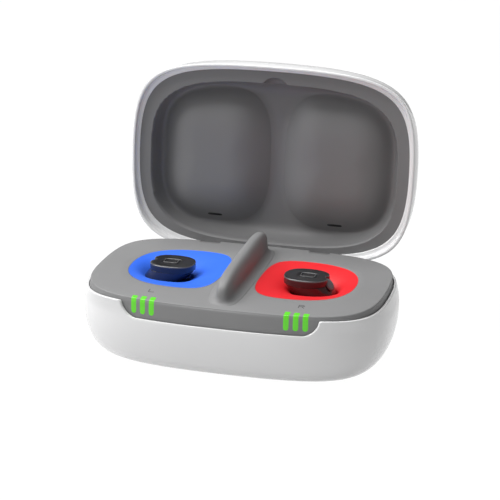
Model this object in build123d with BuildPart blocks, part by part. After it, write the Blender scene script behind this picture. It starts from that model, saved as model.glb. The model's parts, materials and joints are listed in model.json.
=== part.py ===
from build123d import *

# Hearing aid charger: a pocket case with a hinged lid, two cups and an in-canal hearing aid in each.
# Millimetres. The origin is under the middle of the base, +Z up, the front towards -Y, the lid hinge at the rear.
# The lid is drawn closed and then swung open about its hinge, as it stands when in use.

import os
from math import cos, pi, sin

os.makedirs("parts", exist_ok=True)

# Base shell
rim_length = 92.0
rim_depth = 62.7
rim_power = 3.8
girth_length = 95.3
girth_depth = 63.4
girth_power = 3.1
girth_drop = 5.0
base_drop = 22.0
bottom_draw = 10.5
bottom_power = 2.37
base_wall = 1.8
lip_wall = 0.8
lip_drop = 2.0
rim_round = 0.5

# Foot pad
pad_length = 66.0
pad_depth = 37.0
pad_power = 2.6
pad_thickness = 1.0
pad_proud = 0.5

# Front notch and the panel that fills it
notch_half_width = 30.1
notch_drop = 4.9
notch_corner = 4.7
panel_gap = 0.15
panel_wall = 1.2

# Deck tray
deck_rise = 2.13
deck_wall = 1.4
tray_gap = 0.15
shoulder_round = 0.7
shoulder_inset = 1.35
tray_draft_inset = 1.1
tray_draft_rise = 0.5

# Fin between the cups
fin_length = 52.6
fin_width = 5.8
fin_rise = 8.5
fin_centre_y = -0.4
fin_length_power = 3.0
fin_width_power = 2.4
fin_foot_flare = 0.8
fin_foot_rise = 1.4

# Cups
cup_inner_x = 5.7
cup_outer_x = 35.1
cup_half_depth = 18.2
cup_inner_corner = 6.0
cup_outer_corner = 13.0
cup_gap = 0.05
cup_edge = 0.35
cup_wall = 1.1
cup_flange = 1.0
cup_flange_thickness = 1.1
seat_drop = 1.2
seat_floor_drop = 10.0
seat_clearance = 0.35
mouth_corner = 0.86

# Light bars
bar_count = 3
bar_width = 1.6
bar_pitch = 2.8
bar_middle_x = 23.0
bar_bottom_drop = 3.6
bar_deck_reach = 1.2
bar_back_reach = 3.2
bar_gap = 0.03

# Chassis frame
chassis_inset = 2.3
chassis_thickness = 1.6
chassis_gap = 0.15
seat_window = 1.0

# Screws and bosses
case_boss_x = 28.0
case_boss_y = 13.0
case_boss_radius = 3.0
case_screw_radius = 1.0
case_head_radius = 1.9
case_head_height = 1.4
case_head_seat = 4.5
tray_boss_x = 37.0
tray_boss_y = 19.5
tray_boss_radius = 2.0
tray_screw_radius = 0.8
tray_head_radius = 1.5
tray_head_height = 0.9
tray_screw_bite = 4.0
board_post_x = 21.0
board_post_y = 17.3
board_post_radius = 1.7
board_screw_radius = 0.7
board_head_radius = 1.3
board_head_height = 0.8
board_screw_bite = 4.0

# Electronics
battery_length = 44.0
battery_width = 30.0
battery_thickness = 5.5
board_height = 9.0
board_thickness = 1.0
board_length = 61.0
board_front_y = -19.8
board_rear_y = 26.2
board_corner = 5.0
board_hole_gap = 0.4
chip_height = 1.2
ferrite_size = 17.0
ferrite_thickness = 0.4
coil_outer_radius = 8.0
coil_inner_radius = 3.0
coil_thickness = 0.7
indicator_length = 54.0
indicator_front_y = -27.2
indicator_rear_y = -18.8
indicator_thickness = 0.8
led_width = 1.2
led_depth = 0.9
led_height = 1.5
ribbon_width = 8.0
ribbon_thickness = 0.3
ribbon_y = -19.2
sensor_length = 3.0
sensor_depth = 1.6
sensor_height = 1.1
socket_width = 8.94
socket_height = 3.26
socket_depth = 8.6
socket_wall = 0.3
socket_gap = 0.2
socket_shy = 0.4
tongue_width = 6.7
tongue_thickness = 0.7
tongue_length = 5.5
magnet_length = 8.0
magnet_width = 1.6
magnet_height = 1.6
magnet_x = 12.0
magnet_y = 28.9

# Hinge
hinge_y = 30.2
hinge_drop = 1.7
hinge_x = 18.0
lid_angle = 91.3
pin_radius = 0.6
pin_clearance = 0.05
knuckle_radius = 1.3
arm_width = 6.0
knuckle_gap = 0.3
lug_width = 2.8
arm_front_y = 28.75
arm_thickness = 1.2
arm_rise = 8.5
arm_slot_gap = 0.3
arm_side_gap = 0.05
hinge_window_gap = 0.3
hinge_window_reach = 2.6
hinge_window_drop = 3.3
arm_screw_rise = 6.5
arm_screw_radius = 0.6
arm_head_radius = 1.1
arm_head_height = 0.5
arm_screw_length = 1.6
arm_pad_height = 4.4

# Lid shell
lid_gap = 0.5
lid_rise = 15.0
lid_girth_length = 93.8
lid_girth_depth = 63.8
lid_girth_power = 3.3
lid_girth_rise = 4.5
lid_top_draw = 12.0
lid_top_power = 2.4
lid_lip = 0.75
lid_wall = 1.3
lid_top_wall = 1.5

# Lid liner
flange_rise = 2.6
liner_wall = 1.2
liner_gap = 0.05
basin_length = 80.4
basin_depth = 53.0
basin_centre_y = 0.5
basin_power = 3.4
basin_floor_rise = 11.4
basin_draw = 5.0
basin_draw_power = 2.4
bump_width = 9.6
bump_reach = 27.3
bump_rise = 5.0
pillow_centre_x = 19.6
pillow_centre_y = -0.5
pillow_length = 33.0
pillow_depth = 41.0
pillow_power = 3.2
pillow_low_rise = 5.7
pillow_draw = 9.5
pillow_draw_power = 2.1
slit_length = 4.8
slit_height = 0.9
slit_x = 19.95
slit_rise = 9.4

# Hearing aids
face_centre_x = 20.2
face_centre_y = -0.4
face_length = 12.8
face_depth = 12.4
face_power = 2.4
face_top_rise = 3.7
face_thickness = 1.6
face_round = 0.45
bite_radius = 2.6
bite_centre_x = 27.5
bite_centre_y = -0.4
aid_waist_rise = -1.0
aid_waist_x = 22.2
aid_waist_length = 14.6
aid_waist_depth = 12.2
aid_tip_drop = 9.2
aid_tip_x = 22.2
aid_tip_length = 7.0
aid_tip_depth = 6.4
aid_wall = 0.8
sleeve_height = 3.2
sleeve_wall = 0.6
aid_cell_radius = 3.6
aid_cell_height = 2.6
receiver_length = 4.4
receiver_width = 2.6
receiver_height = 2.0
lens_length = 3.0
lens_width = 3.5
lens_thickness = 0.7
lens_lean = 43.0
lens_x = 27.55
lens_rise = 0.75
microphone_radius = 0.35
microphone_depth = 0.4
button_length = 3.7
button_width = 2.2
button_x = 20.4
button_y = -0.9
button_proud = 0.15
button_height = 0.8
button_travel = 0.3
button_gap = 0.15
button_floor_gap = 0.2

# Heights worked out from the sizes above
rim_z = base_drop + pad_proud
deck_z = rim_z + deck_rise
plate_underside = deck_z - deck_wall
floor_z = pad_proud + base_wall
chassis_top = rim_z - notch_drop
chassis_underside = chassis_top - chassis_thickness
board_top = board_height + board_thickness
hinge_z = rim_z - hinge_drop
lid_rim_z = rim_z + lid_gap
lid_top_z = rim_z + lid_rise
flange_z = rim_z + flange_rise
basin_floor_z = rim_z + basin_floor_rise
face_top_z = rim_z + face_top_rise
face_underside = face_top_z - face_thickness

hinge_line = Axis((0, hinge_y, hinge_z), (-1, 0, 0))


def oval(height, half_x, half_y, power, centre=(0.0, 0.0)):
    # a squared-off oval close to |x/a| to the power + |y/b| to the power = 1: four cubic quarters, whose handles
    # are as long as it takes to pass through that curve's diagonal point
    handle = (8 * 2 ** (-1 / power) - 4) / 3
    middle = Vector(*centre)
    ends = [Vector(half_x, 0), Vector(0, half_y), Vector(-half_x, 0), Vector(0, -half_y)]
    with BuildSketch(Plane.XY.offset(height)) as face:
        with BuildLine():
            for end, following in zip(ends, ends[1:] + ends[:1]):
                Bezier(
                    middle + end,
                    middle + end + following * handle,
                    middle + following + end * handle,
                    middle + following,
                )
        make_face()
    return face.sketch


def draw_in(share, amount, power):
    # how far a side has drawn in, from nothing at share 0 to all of the amount at share 1, as a squared quarter arc
    return amount * (1 - max(0.0, 1 - share**power) ** (1 / power))


def blend(share, start, end):
    # eases from start to end as the share goes from 0 to 1
    return start + (end - start) * sin(share * pi / 2)


def edge_draw(drop, radius):
    # how far a rounded edge of this radius is drawn in at a drop below its top
    if drop >= radius:
        return 0.0
    return radius - (radius**2 - (radius - drop) ** 2) ** 0.5


def base_face(drop, inset=0.0, floor=0.0, edge=0.0):
    # the base's outline at a drop below the rim; inset moves it inwards and floor lifts the bottom of the form
    full = base_drop - floor
    if drop < girth_drop:
        share = drop / girth_drop
        half_x = blend(share, rim_length, girth_length) / 2
        half_y = blend(share, rim_depth, girth_depth) / 2
        power = blend(share, rim_power, girth_power)
        tuck = 0.0
    else:
        half_x, half_y, power = girth_length / 2, girth_depth / 2, girth_power
        tuck = draw_in((drop - girth_drop) / (full - girth_drop), bottom_draw, bottom_power)
    tuck += inset + edge_draw(drop, edge)
    return oval(rim_z - drop, half_x - tuck, half_y - tuck, power)


def base_form(top_drop, inset=0.0, floor=0.0, edge=0.0):
    # the stack of outlines from a drop below the rim down to the bottom of the form
    upper = [0.0, 0.06, 0.2, 0.5, 1.2, 2.0, 3.4, girth_drop]
    tuck_shares = [0.2, 0.38, 0.54, 0.68, 0.8, 0.88, 0.94, 0.975, 0.995, 1.0]
    depth = base_drop - floor - girth_drop
    drops = [top_drop] + [drop for drop in upper if drop > top_drop + 0.05]
    drops += [girth_drop + share * depth for share in tuck_shares]
    return [base_face(drop, inset, floor, edge) for drop in drops]


def lid_face(rise, inset=0.0, roof=0.0, edge=0.0):
    # the closed lid's outline at a rise above the base's rim; roof lowers the top of the form
    full = lid_rise - roof
    lip = rise - lid_gap
    if rise < lid_girth_rise:
        share = lip / (lid_girth_rise - lid_gap)
        half_x = blend(share, rim_length, lid_girth_length) / 2
        half_y = blend(share, rim_depth, lid_girth_depth) / 2
        power = blend(share, rim_power, lid_girth_power)
        tuck = 0.0
    else:
        half_x, half_y, power = lid_girth_length / 2, lid_girth_depth / 2, lid_girth_power
        tuck = draw_in((rise - lid_girth_rise) / (full - lid_girth_rise), lid_top_draw, lid_top_power)
    tuck += inset + edge_draw(lip, edge)
    return oval(rim_z + rise, half_x - tuck, half_y - tuck, power)


def lid_form(low_rise, inset=0.0, roof=0.0, edge=0.0):
    # the stack of outlines from a rise above the base's rim up to the top of the form
    lower = [lid_gap, lid_gap + 0.06, lid_gap + 0.2, lid_gap + 0.5, 1.8, flange_rise, 3.5, lid_girth_rise]
    draw_shares = [0.2, 0.38, 0.54, 0.68, 0.8, 0.88, 0.94, 0.975, 0.995, 1.0]
    height = lid_rise - roof - lid_girth_rise
    rises = [low_rise] + [rise for rise in lower if rise > low_rise + 0.05]
    rises += [lid_girth_rise + share * height for share in draw_shares]
    return [lid_face(rise, inset, roof, edge) for rise in rises]


def tray_form():
    # the deck's outer form: upright in the lip of the shell, leaning in above it, with a rounded shoulder
    wall_inset = lip_wall + tray_gap
    faces = [base_face(drop, wall_inset) for drop in (lip_drop, 0.0)]
    rows = [(tray_draft_rise, tray_draft_inset), (deck_rise - shoulder_round, shoulder_inset)]
    for turn in (pi / 6, pi / 3, pi / 2):
        rise = deck_rise - shoulder_round * (1 - sin(turn))
        rows.append((rise, shoulder_inset + shoulder_round * (1 - cos(turn))))
    for rise, inset in rows:
        faces.append(oval(rim_z + rise, rim_length / 2 - inset, rim_depth / 2 - inset, rim_power))
    return faces


def cup_outline(height, grow=0.0):
    # the right cup's outline on the deck: small corners beside the fin and large ones at the outer end
    middle_x = (cup_inner_x + cup_outer_x) / 2
    with BuildSketch(Plane.XY.offset(height)) as face:
        with Locations((middle_x, 0)):
            Rectangle(cup_outer_x - cup_inner_x + 2 * grow, 2 * (cup_half_depth + grow))
        corners = face.vertices()
        fillet(corners.filter_by_position(Axis.X, 0, middle_x), cup_inner_corner + grow)
        fillet(face.vertices().filter_by_position(Axis.X, cup_outer_x + grow - 0.1, 99), cup_outer_corner + grow)
    return face.sketch


def aid_face(rise, inset=0.0):
    # the right aid's outline at a rise above the base's rim: faceplate, then the wider waist, then the canal tip
    top_rise = face_top_rise - face_thickness
    if rise > aid_waist_rise:
        share = (top_rise - rise) / (top_rise - aid_waist_rise)
        centre = (face_centre_x + (aid_waist_x - face_centre_x) * share, face_centre_y * (1 - share))
        length = face_length + (aid_waist_length - face_length) * share
        depth = face_depth + (aid_waist_depth - face_depth) * share
    else:
        share = (aid_waist_rise - rise) / (aid_waist_rise + aid_tip_drop)
        centre = (aid_waist_x + (aid_tip_x - aid_waist_x) * share, 0.0)
        length = aid_waist_length - draw_in(share, aid_waist_length - aid_tip_length, 1.5)
        depth = aid_waist_depth - draw_in(share, aid_waist_depth - aid_tip_depth, 1.5)
    return oval(rim_z + rise, length / 2 - inset, depth / 2 - inset, face_power, centre)


def aid_form(top_rise, low_rise, inset=0.0):
    # the stack of outlines of the aid between two heights
    steps = 8
    return [aid_face(top_rise + (low_rise - top_rise) * step / steps, inset) for step in range(steps + 1)]


def swung_open(closed_piece):
    # a lid piece drawn closed, turned about the hinge line to where it stands open
    return closed_piece.rotate(hinge_line, lid_angle)


def four_corners(x, y):
    return [(sign_x * x, sign_y * y) for sign_x in (-1, 1) for sign_y in (-1, 1)]


def disc_prism(points, radius, low, high, mode=Mode.ADD):
    # upright round columns at the given places, between two heights
    with BuildSketch(Plane.XY.offset(low)) as foot:
        with Locations(*points):
            Circle(radius)
    extrude(foot.sketch, amount=high - low, dir=(0, 0, 1), mode=mode)


def block(low, high, mode=Mode.ADD):
    # a plain box between two corners
    with BuildSketch(Plane.XY.offset(low[2])) as foot:
        with Locations(((low[0] + high[0]) / 2, (low[1] + high[1]) / 2)):
            Rectangle(high[0] - low[0], high[1] - low[1])
    extrude(foot.sketch, amount=high[2] - low[2], dir=(0, 0, 1), mode=mode)


# Base shell
socket_middle_z = board_top + socket_height / 2
hinge_half_width = arm_width / 2 + knuckle_gap + lug_width
window_half_width = hinge_half_width + hinge_window_gap
board_post_top = board_height

with BuildPart() as base_shell:
    loft(base_form(0.0, edge=rim_round))
    loft(base_form(lip_drop, base_wall, base_wall), mode=Mode.SUBTRACT)
    loft([base_face(lip_drop, lip_wall), base_face(0.0, lip_wall)], ruled=True, mode=Mode.SUBTRACT)
    # front notch with large lower corners
    with BuildSketch(Plane.XZ.offset(rim_depth / 4)) as notch:
        with Locations((0, rim_z)):
            Rectangle(2 * notch_half_width, 2 * notch_drop)
        fillet(notch.vertices().group_by(Axis.Z)[0], notch_corner)
    extrude(notch.sketch, amount=rim_depth, dir=(0, -1, 0), mode=Mode.SUBTRACT)
    # rear windows for the two hinges
    for side in (-1, 1):
        low_x = side * hinge_x - window_half_width
        low_z = rim_z - hinge_window_drop
        block(
            (low_x, hinge_y - hinge_window_reach, low_z),
            (low_x + 2 * window_half_width, rim_depth, rim_z + deck_rise),
            Mode.SUBTRACT,
        )
    # slot for the charging socket
    with BuildSketch(Plane.XZ.offset(-board_rear_y)) as socket_slot:
        with Locations((0, socket_middle_z)):
            slot_height = socket_height + 2 * socket_gap
            RectangleRounded(socket_width + 2 * socket_gap, slot_height, 0.49 * slot_height)
    extrude(socket_slot.sketch, amount=rim_depth, dir=(0, 1, 0), mode=Mode.SUBTRACT)
    # recess for the foot pad
    loft(
        [oval(height, pad_length / 2 + panel_gap, pad_depth / 2 + panel_gap, pad_power) for height in (0, pad_thickness)],
        ruled=True,
        mode=Mode.SUBTRACT,
    )
    # bosses that the case screws pass through, and posts under the board
    disc_prism(four_corners(case_boss_x, case_boss_y), case_boss_radius, pad_thickness, chassis_underside)
    disc_prism(four_corners(board_post_x, board_post_y), board_post_radius, floor_z - 0.5, board_post_top)
    disc_prism(four_corners(case_boss_x, case_boss_y), case_screw_radius, 0, chassis_top, Mode.SUBTRACT)
    disc_prism(four_corners(case_boss_x, case_boss_y), case_head_radius, 0, case_head_seat, Mode.SUBTRACT)
    disc_prism(
        four_corners(board_post_x, board_post_y),
        board_screw_radius,
        board_post_top - board_screw_bite,
        board_post_top,
        Mode.SUBTRACT,
    )

# Deck tray: front panel, deck plate with its skirt, fin, cup holes, screw bosses and slots
tray_skirt_inset = lip_wall + tray_gap
bar_centres = [bar_middle_x + bar_pitch * (place - (bar_count - 1) / 2) for place in range(bar_count)]
bar_top_y = -(rim_depth / 2 - shoulder_inset - shoulder_round) + bar_deck_reach
bar_back_y = -(rim_depth / 2 - tray_skirt_inset) + bar_back_reach


def panel_form(low_drop, inset):
    # outlines of the front panel below the skirt
    return [base_face(lip_drop + (low_drop - lip_drop) * step / 2, inset) for step in range(3)]


def bar_prism(centre_x, grow):
    # an upright slot shape with a round bottom, cut square at the back
    half = bar_width / 2 + grow
    bottom = rim_z - bar_bottom_drop - grow
    with BuildSketch(Plane.XZ.offset(rim_depth / 2 + 2)) as bar:
        with BuildLine():
            Line((centre_x - half, deck_z + 1), (centre_x - half, bottom + half))
            ThreePointArc((centre_x - half, bottom + half), (centre_x, bottom), (centre_x + half, bottom + half))
            Line((centre_x + half, bottom + half), (centre_x + half, deck_z + 1))
            Line((centre_x + half, deck_z + 1), (centre_x - half, deck_z + 1))
        make_face()
    with BuildPart() as prism:
        extrude(bar.sketch, amount=bar_back_y + rim_depth / 2 + 2 + grow, dir=(0, 1, 0))
    return prism.part


right_hole = cup_outline(plate_underside - 1, cup_gap)
cup_holes = (right_hole, mirror(right_hole, about=Plane.YZ))

with BuildPart() as tray_blank:
    loft(panel_form(notch_drop - panel_gap, tray_skirt_inset), ruled=True)
    with BuildSketch(Plane.XZ.offset(rim_depth / 4)) as panel_front:
        with Locations((0, rim_z)):
            Rectangle(2 * (notch_half_width - panel_gap), 2 * (notch_drop - panel_gap))
        fillet(panel_front.vertices().group_by(Axis.Z)[0], notch_corner)
    extrude(panel_front.sketch, amount=rim_depth, dir=(0, -1, 0), mode=Mode.INTERSECT)
    loft(tray_form(), ruled=True)

with BuildPart() as deck_tray:
    add(tray_blank)
    skirt_inner = tray_skirt_inset + panel_wall
    hollow = panel_form(notch_drop, skirt_inner)[::-1] + [base_face(0.0, skirt_inner)]
    hollow.append(oval(plate_underside, rim_length / 2 - skirt_inner, rim_depth / 2 - skirt_inner, rim_power))
    loft(hollow, ruled=True, mode=Mode.SUBTRACT)
    disc_prism(four_corners(tray_boss_x, tray_boss_y), tray_boss_radius, chassis_top, plate_underside + 0.2)
    disc_prism(
        four_corners(tray_boss_x, tray_boss_y),
        tray_screw_radius,
        chassis_top,
        chassis_top + tray_screw_bite,
        Mode.SUBTRACT,
    )
    for side in (-1, 1):
        # room for the hinge knuckles under the deck, and the slot that the lid's arm passes through
        low_x = side * hinge_x - window_half_width
        block(
            (low_x, hinge_y - knuckle_radius - 2.0, rim_z - notch_drop),
            (low_x + 2 * window_half_width, rim_depth, hinge_z + knuckle_radius + hinge_window_gap),
            Mode.SUBTRACT,
        )
        slot_half = arm_width / 2 + arm_slot_gap
        block(
            (side * hinge_x - slot_half, arm_front_y - arm_slot_gap, rim_z - notch_drop),
            (side * hinge_x + slot_half, rim_depth, deck_z + 1),
            Mode.SUBTRACT,
        )
    for hole in cup_holes:
        extrude(hole, amount=deck_wall + 2, dir=(0, 0, 1), mode=Mode.SUBTRACT)
    add([bar_prism(side * centre_x, bar_gap) for centre_x in bar_centres for side in (-1, 1)], mode=Mode.SUBTRACT)
    # fin: ovals that shorten and narrow towards the crest, with a flared foot
    fin_faces = []
    for share in (0.0, 0.04, 0.09, 0.16, 0.3, 0.45, 0.6, 0.73, 0.84, 0.92, 0.97, 0.995):
        rise = fin_rise * share
        flare = draw_in(max(0.0, 1 - rise / fin_foot_rise), fin_foot_flare, 2.0)
        half_length = fin_length / 2 - draw_in(share, fin_length / 2, fin_length_power) + flare / 2
        half_width = fin_width / 2 - draw_in(share, fin_width / 2, fin_width_power) + flare
        fin_faces.append(oval(deck_z + rise, half_width, half_length, 2.0, (0, fin_centre_y)))
    loft(fin_faces)

# Light bars: the part of the tray's own form that lies in each slot
pieces = {"base_shell": base_shell.part, "deck_tray": deck_tray.part}
for place, centre_x in enumerate(bar_centres):
    with BuildPart() as light_bar:
        add(tray_blank)
        add(bar_prism(centre_x, 0.0), mode=Mode.INTERSECT)
    pieces[f"right_light_bar_{place + 1}"] = light_bar.part
    pieces[f"left_light_bar_{place + 1}"] = mirror(light_bar.part, about=Plane.YZ)

# Cups: a bowl that slopes from the deck to the seat, and a flange that the deck holds down
flange_top = plate_underside
flange_low = flange_top - cup_flange_thickness


def mouth_outline(height, grow=0.0):
    # the mouth of the aid's seat, a rounded rectangle a clearance larger than the aid's waist
    half_x = aid_waist_length / 2 + seat_clearance + grow
    half_y = aid_waist_depth / 2 + seat_clearance + grow
    with BuildSketch(Plane.XY.offset(height)) as face:
        with Locations((aid_waist_x, 0)):
            RectangleRounded(2 * half_x, 2 * half_y, mouth_corner * half_y)
    return face.sketch


def seat_form(top_drop, grow=0.0):
    # the seat follows the aid's own form at a clearance that widens to take the sleeve, down to a flat floor
    steps = 6
    faces = []
    for step in range(steps + 1):
        drop = top_drop + (aid_tip_drop - top_drop) * step / steps
        faces.append(aid_face(-drop, -(seat_clearance + grow + sleeve_wall * step / steps)))
    tip_grow = seat_clearance + grow + sleeve_wall
    half_x, half_y = aid_tip_length / 2 + tip_grow, aid_tip_depth / 2 + tip_grow
    faces.append(oval(rim_z - seat_floor_drop - grow, half_x, half_y, face_power, (aid_tip_x, 0)))
    return faces


with BuildPart() as right_cup:
    loft([cup_outline(deck_z), cup_outline(flange_top)], ruled=True)
    loft([cup_outline(flange_top, cup_flange), cup_outline(flange_low, cup_flange)], ruled=True)
    loft([cup_outline(flange_low), mouth_outline(rim_z - seat_drop - cup_wall, cup_wall)], ruled=True)
    loft(seat_form(seat_drop + cup_wall, cup_wall), ruled=True)
    loft([cup_outline(deck_z, -cup_edge), mouth_outline(rim_z - seat_drop)], ruled=True, mode=Mode.SUBTRACT)
    loft(seat_form(seat_drop), ruled=True, mode=Mode.SUBTRACT)
pieces["right_cup"] = right_cup.part
pieces["left_cup"] = mirror(right_cup.part, about=Plane.YZ)

# Chassis frame: a plate under the deck with windows for the seats, and lugs for the hinge pins
lug_front_y = hinge_y - 4.0
lug_back_y = hinge_y - 2.1

with BuildPart() as chassis_frame:
    chassis_rows = [base_face(notch_drop + chassis_thickness * step, chassis_inset) for step in (0, 1)]
    loft(chassis_rows, ruled=True)
    with BuildSketch(Plane.XY.offset(chassis_underside)) as windows:
        seat_margin = seat_clearance + cup_wall + seat_window
        window_length = aid_waist_length + 2 * seat_margin
        window_depth = aid_waist_depth + 2 * seat_margin
        with Locations((aid_waist_x, 0), (-aid_waist_x, 0)):
            RectangleRounded(window_length, window_depth, 6.0)
        middle_depth = 2 * (-ribbon_y + ribbon_thickness + 1.5)
        RectangleRounded(ribbon_width + 4.0, middle_depth, 2.0)
    extrude(windows.sketch, amount=chassis_thickness, dir=(0, 0, 1), mode=Mode.SUBTRACT)
    for side in (-1, 1):
        for end in (-1, 1):
            lug_middle = side * hinge_x + end * (arm_width / 2 + knuckle_gap + lug_width / 2)
            with BuildSketch(Plane.YZ.offset(lug_middle - lug_width / 2)) as lug:
                with BuildLine():
                    Polyline(
                        (lug_front_y, chassis_top - 0.5),
                        (lug_back_y, chassis_top - 0.5),
                        (lug_back_y, hinge_z - knuckle_radius),
                        (hinge_y, hinge_z - knuckle_radius),
                        (hinge_y, hinge_z + knuckle_radius),
                        (hinge_y - knuckle_radius, hinge_z + knuckle_radius),
                        (lug_front_y, hinge_z - knuckle_radius / 2),
                        close=True,
                    )
                make_face()
                with Locations((hinge_y, hinge_z)):
                    Circle(knuckle_radius)
                    Circle(pin_radius, mode=Mode.SUBTRACT)
            extrude(lug.sketch, amount=lug_width, dir=(1, 0, 0))
    disc_prism(
        four_corners(case_boss_x, case_boss_y), case_screw_radius, chassis_underside, chassis_top, Mode.SUBTRACT
    )
    disc_prism(
        four_corners(tray_boss_x, tray_boss_y), tray_screw_radius, chassis_underside, chassis_top, Mode.SUBTRACT
    )
pieces["chassis_frame"] = chassis_frame.part

# Hinge pins, each through its two lugs and the lid's knuckle
with BuildPart() as right_hinge_pin:
    with BuildSketch(Plane.YZ.offset(hinge_x - hinge_half_width)) as pin_end:
        with Locations((hinge_y, hinge_z)):
            Circle(pin_radius)
    extrude(pin_end.sketch, amount=2 * hinge_half_width, dir=(1, 0, 0))
pieces["right_hinge_pin"] = right_hinge_pin.part
pieces["left_hinge_pin"] = mirror(right_hinge_pin.part, about=Plane.YZ)

# Foot pad
with BuildPart() as foot_pad:
    pad_heights = (0.0, pad_thickness)
    loft([oval(height, pad_length / 2, pad_depth / 2, pad_power) for height in pad_heights], ruled=True)
pieces["foot_pad"] = foot_pad.part

# Screws: a head and a shank each, one node for each kind
with BuildPart() as case_screws:
    spots = four_corners(case_boss_x, case_boss_y)
    disc_prism(spots, case_head_radius, case_head_seat - case_head_height, case_head_seat)
    disc_prism(spots, case_screw_radius, case_head_seat, chassis_top)
pieces["case_screws"] = case_screws.part

with BuildPart() as tray_screws:
    spots = four_corners(tray_boss_x, tray_boss_y)
    disc_prism(spots, tray_head_radius, chassis_underside - tray_head_height, chassis_underside)
    disc_prism(spots, tray_screw_radius, chassis_underside, chassis_top + tray_screw_bite)
pieces["tray_screws"] = tray_screws.part

with BuildPart() as board_screws:
    spots = four_corners(board_post_x, board_post_y)
    disc_prism(spots, board_head_radius, board_top, board_top + board_head_height)
    disc_prism(spots, board_screw_radius, board_post_top - board_screw_bite, board_top)
pieces["board_screws"] = board_screws.part

# Battery, boards and what they carry
with BuildPart() as battery_cell:
    half_length, half_width = battery_length / 2, battery_width / 2
    low = floor_z
    block((-half_length, -half_width, low), (half_length, half_width, low + battery_thickness))
    fillet(battery_cell.edges().filter_by(Axis.Z), 2.0)
pieces["battery_cell"] = battery_cell.part

with BuildPart() as main_board:
    with BuildSketch(Plane.XY.offset(board_height)) as board_outline:
        with Locations((0, (board_front_y + board_rear_y) / 2)):
            RectangleRounded(board_length, board_rear_y - board_front_y, board_corner)
        with Locations(*four_corners(case_boss_x, case_boss_y)):
            Circle(case_boss_radius + board_hole_gap, mode=Mode.SUBTRACT)
        with Locations(*four_corners(board_post_x, board_post_y)):
            Circle(board_screw_radius, mode=Mode.SUBTRACT)
    extrude(board_outline.sketch, amount=board_thickness, dir=(0, 0, 1))
pieces["main_board"] = main_board.part

with BuildPart() as board_components:
    with BuildSketch(Plane.XY.offset(board_top)) as chips:
        with Locations((0, 4)):
            Rectangle(7, 7)
        with Locations((-5, 14), (5, 14)):
            Rectangle(4, 3)
        with Locations((0, -8)):
            Rectangle(5, 5)
        with Locations(*[(x, -14) for x in (-8, -4.5, 4.5, 8)]):
            Rectangle(1.6, 0.8)
    extrude(chips.sketch, amount=chip_height, dir=(0, 0, 1))
pieces["board_components"] = board_components.part

with BuildPart() as right_ferrite_sheet:
    with BuildSketch(Plane.XY.offset(board_top)) as sheet_outline:
        with Locations((aid_tip_x, 0)):
            RectangleRounded(ferrite_size, ferrite_size, 1.5)
    extrude(sheet_outline.sketch, amount=ferrite_thickness, dir=(0, 0, 1))
pieces["right_ferrite_sheet"] = right_ferrite_sheet.part
pieces["left_ferrite_sheet"] = mirror(right_ferrite_sheet.part, about=Plane.YZ)

with BuildPart() as right_charging_coil:
    with BuildSketch(Plane.XY.offset(board_top + ferrite_thickness)) as winding:
        with Locations((aid_tip_x, 0)):
            Circle(coil_outer_radius)
            Circle(coil_inner_radius, mode=Mode.SUBTRACT)
    extrude(winding.sketch, amount=coil_thickness, dir=(0, 0, 1))
pieces["right_charging_coil"] = right_charging_coil.part
pieces["left_charging_coil"] = mirror(right_charging_coil.part, about=Plane.YZ)

indicator_top = chassis_top + indicator_thickness
with BuildPart() as indicator_board:
    half_length = indicator_length / 2
    block((-half_length, indicator_front_y, chassis_top), (half_length, indicator_rear_y, indicator_top))
pieces["indicator_board"] = indicator_board.part

with BuildPart() as status_leds:
    led_low_y = bar_back_y
    for side in (-1, 1):
        for centre_x in bar_centres:
            middle = side * centre_x
            block(
                (middle - led_width / 2, led_low_y, indicator_top),
                (middle + led_width / 2, led_low_y + led_depth, indicator_top + led_height),
            )
pieces["status_leds"] = status_leds.part

with BuildPart() as lid_sensor:
    low_y = indicator_front_y + 2.0
    block(
        (-sensor_length / 2, low_y, indicator_top),
        (sensor_length / 2, low_y + sensor_depth, indicator_top + sensor_height),
    )
pieces["lid_sensor"] = lid_sensor.part

with BuildPart() as ribbon_cable:
    half_width = ribbon_width / 2
    block((-half_width, ribbon_y, board_top), (half_width, ribbon_y + ribbon_thickness, chassis_top))
pieces["ribbon_cable"] = ribbon_cable.part

# Charging socket: a rounded sleeve with a tongue inside
socket_mouth_y = girth_depth / 2 - socket_shy
socket_round = 0.49
with BuildPart() as usb_socket:
    with BuildSketch(Plane.XZ.offset(-(socket_mouth_y - socket_depth))) as sleeve:
        with Locations((0, socket_middle_z)):
            RectangleRounded(socket_width, socket_height, socket_round * socket_height)
    extrude(sleeve.sketch, amount=socket_depth, dir=(0, 1, 0))
    with BuildSketch(Plane.XZ.offset(-(socket_mouth_y - socket_depth + 1.0))) as cavity:
        with Locations((0, socket_middle_z)):
            cavity_height = socket_height - 2 * socket_wall
            RectangleRounded(socket_width - 2 * socket_wall, cavity_height, socket_round * cavity_height)
    extrude(cavity.sketch, amount=socket_depth, dir=(0, 1, 0), mode=Mode.SUBTRACT)
pieces["usb_socket"] = usb_socket.part

with BuildPart() as usb_tongue:
    low_y = socket_mouth_y - socket_depth + 1.0
    block(
        (-tongue_width / 2, low_y, socket_middle_z - tongue_thickness / 2),
        (tongue_width / 2, low_y + tongue_length, socket_middle_z + tongue_thickness / 2),
    )
pieces["usb_tongue"] = usb_tongue.part

# Magnets that hold the lid shut: bars under the deck and bars behind the lining's flange
magnet_top = plate_underside
with BuildPart() as base_magnets:
    for side in (-1, 1):
        low_x = side * magnet_x - magnet_length / 2
        block(
            (low_x, -magnet_y, magnet_top - magnet_height),
            (low_x + magnet_length, -magnet_y + magnet_width, magnet_top),
        )
pieces["base_magnets"] = base_magnets.part

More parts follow.
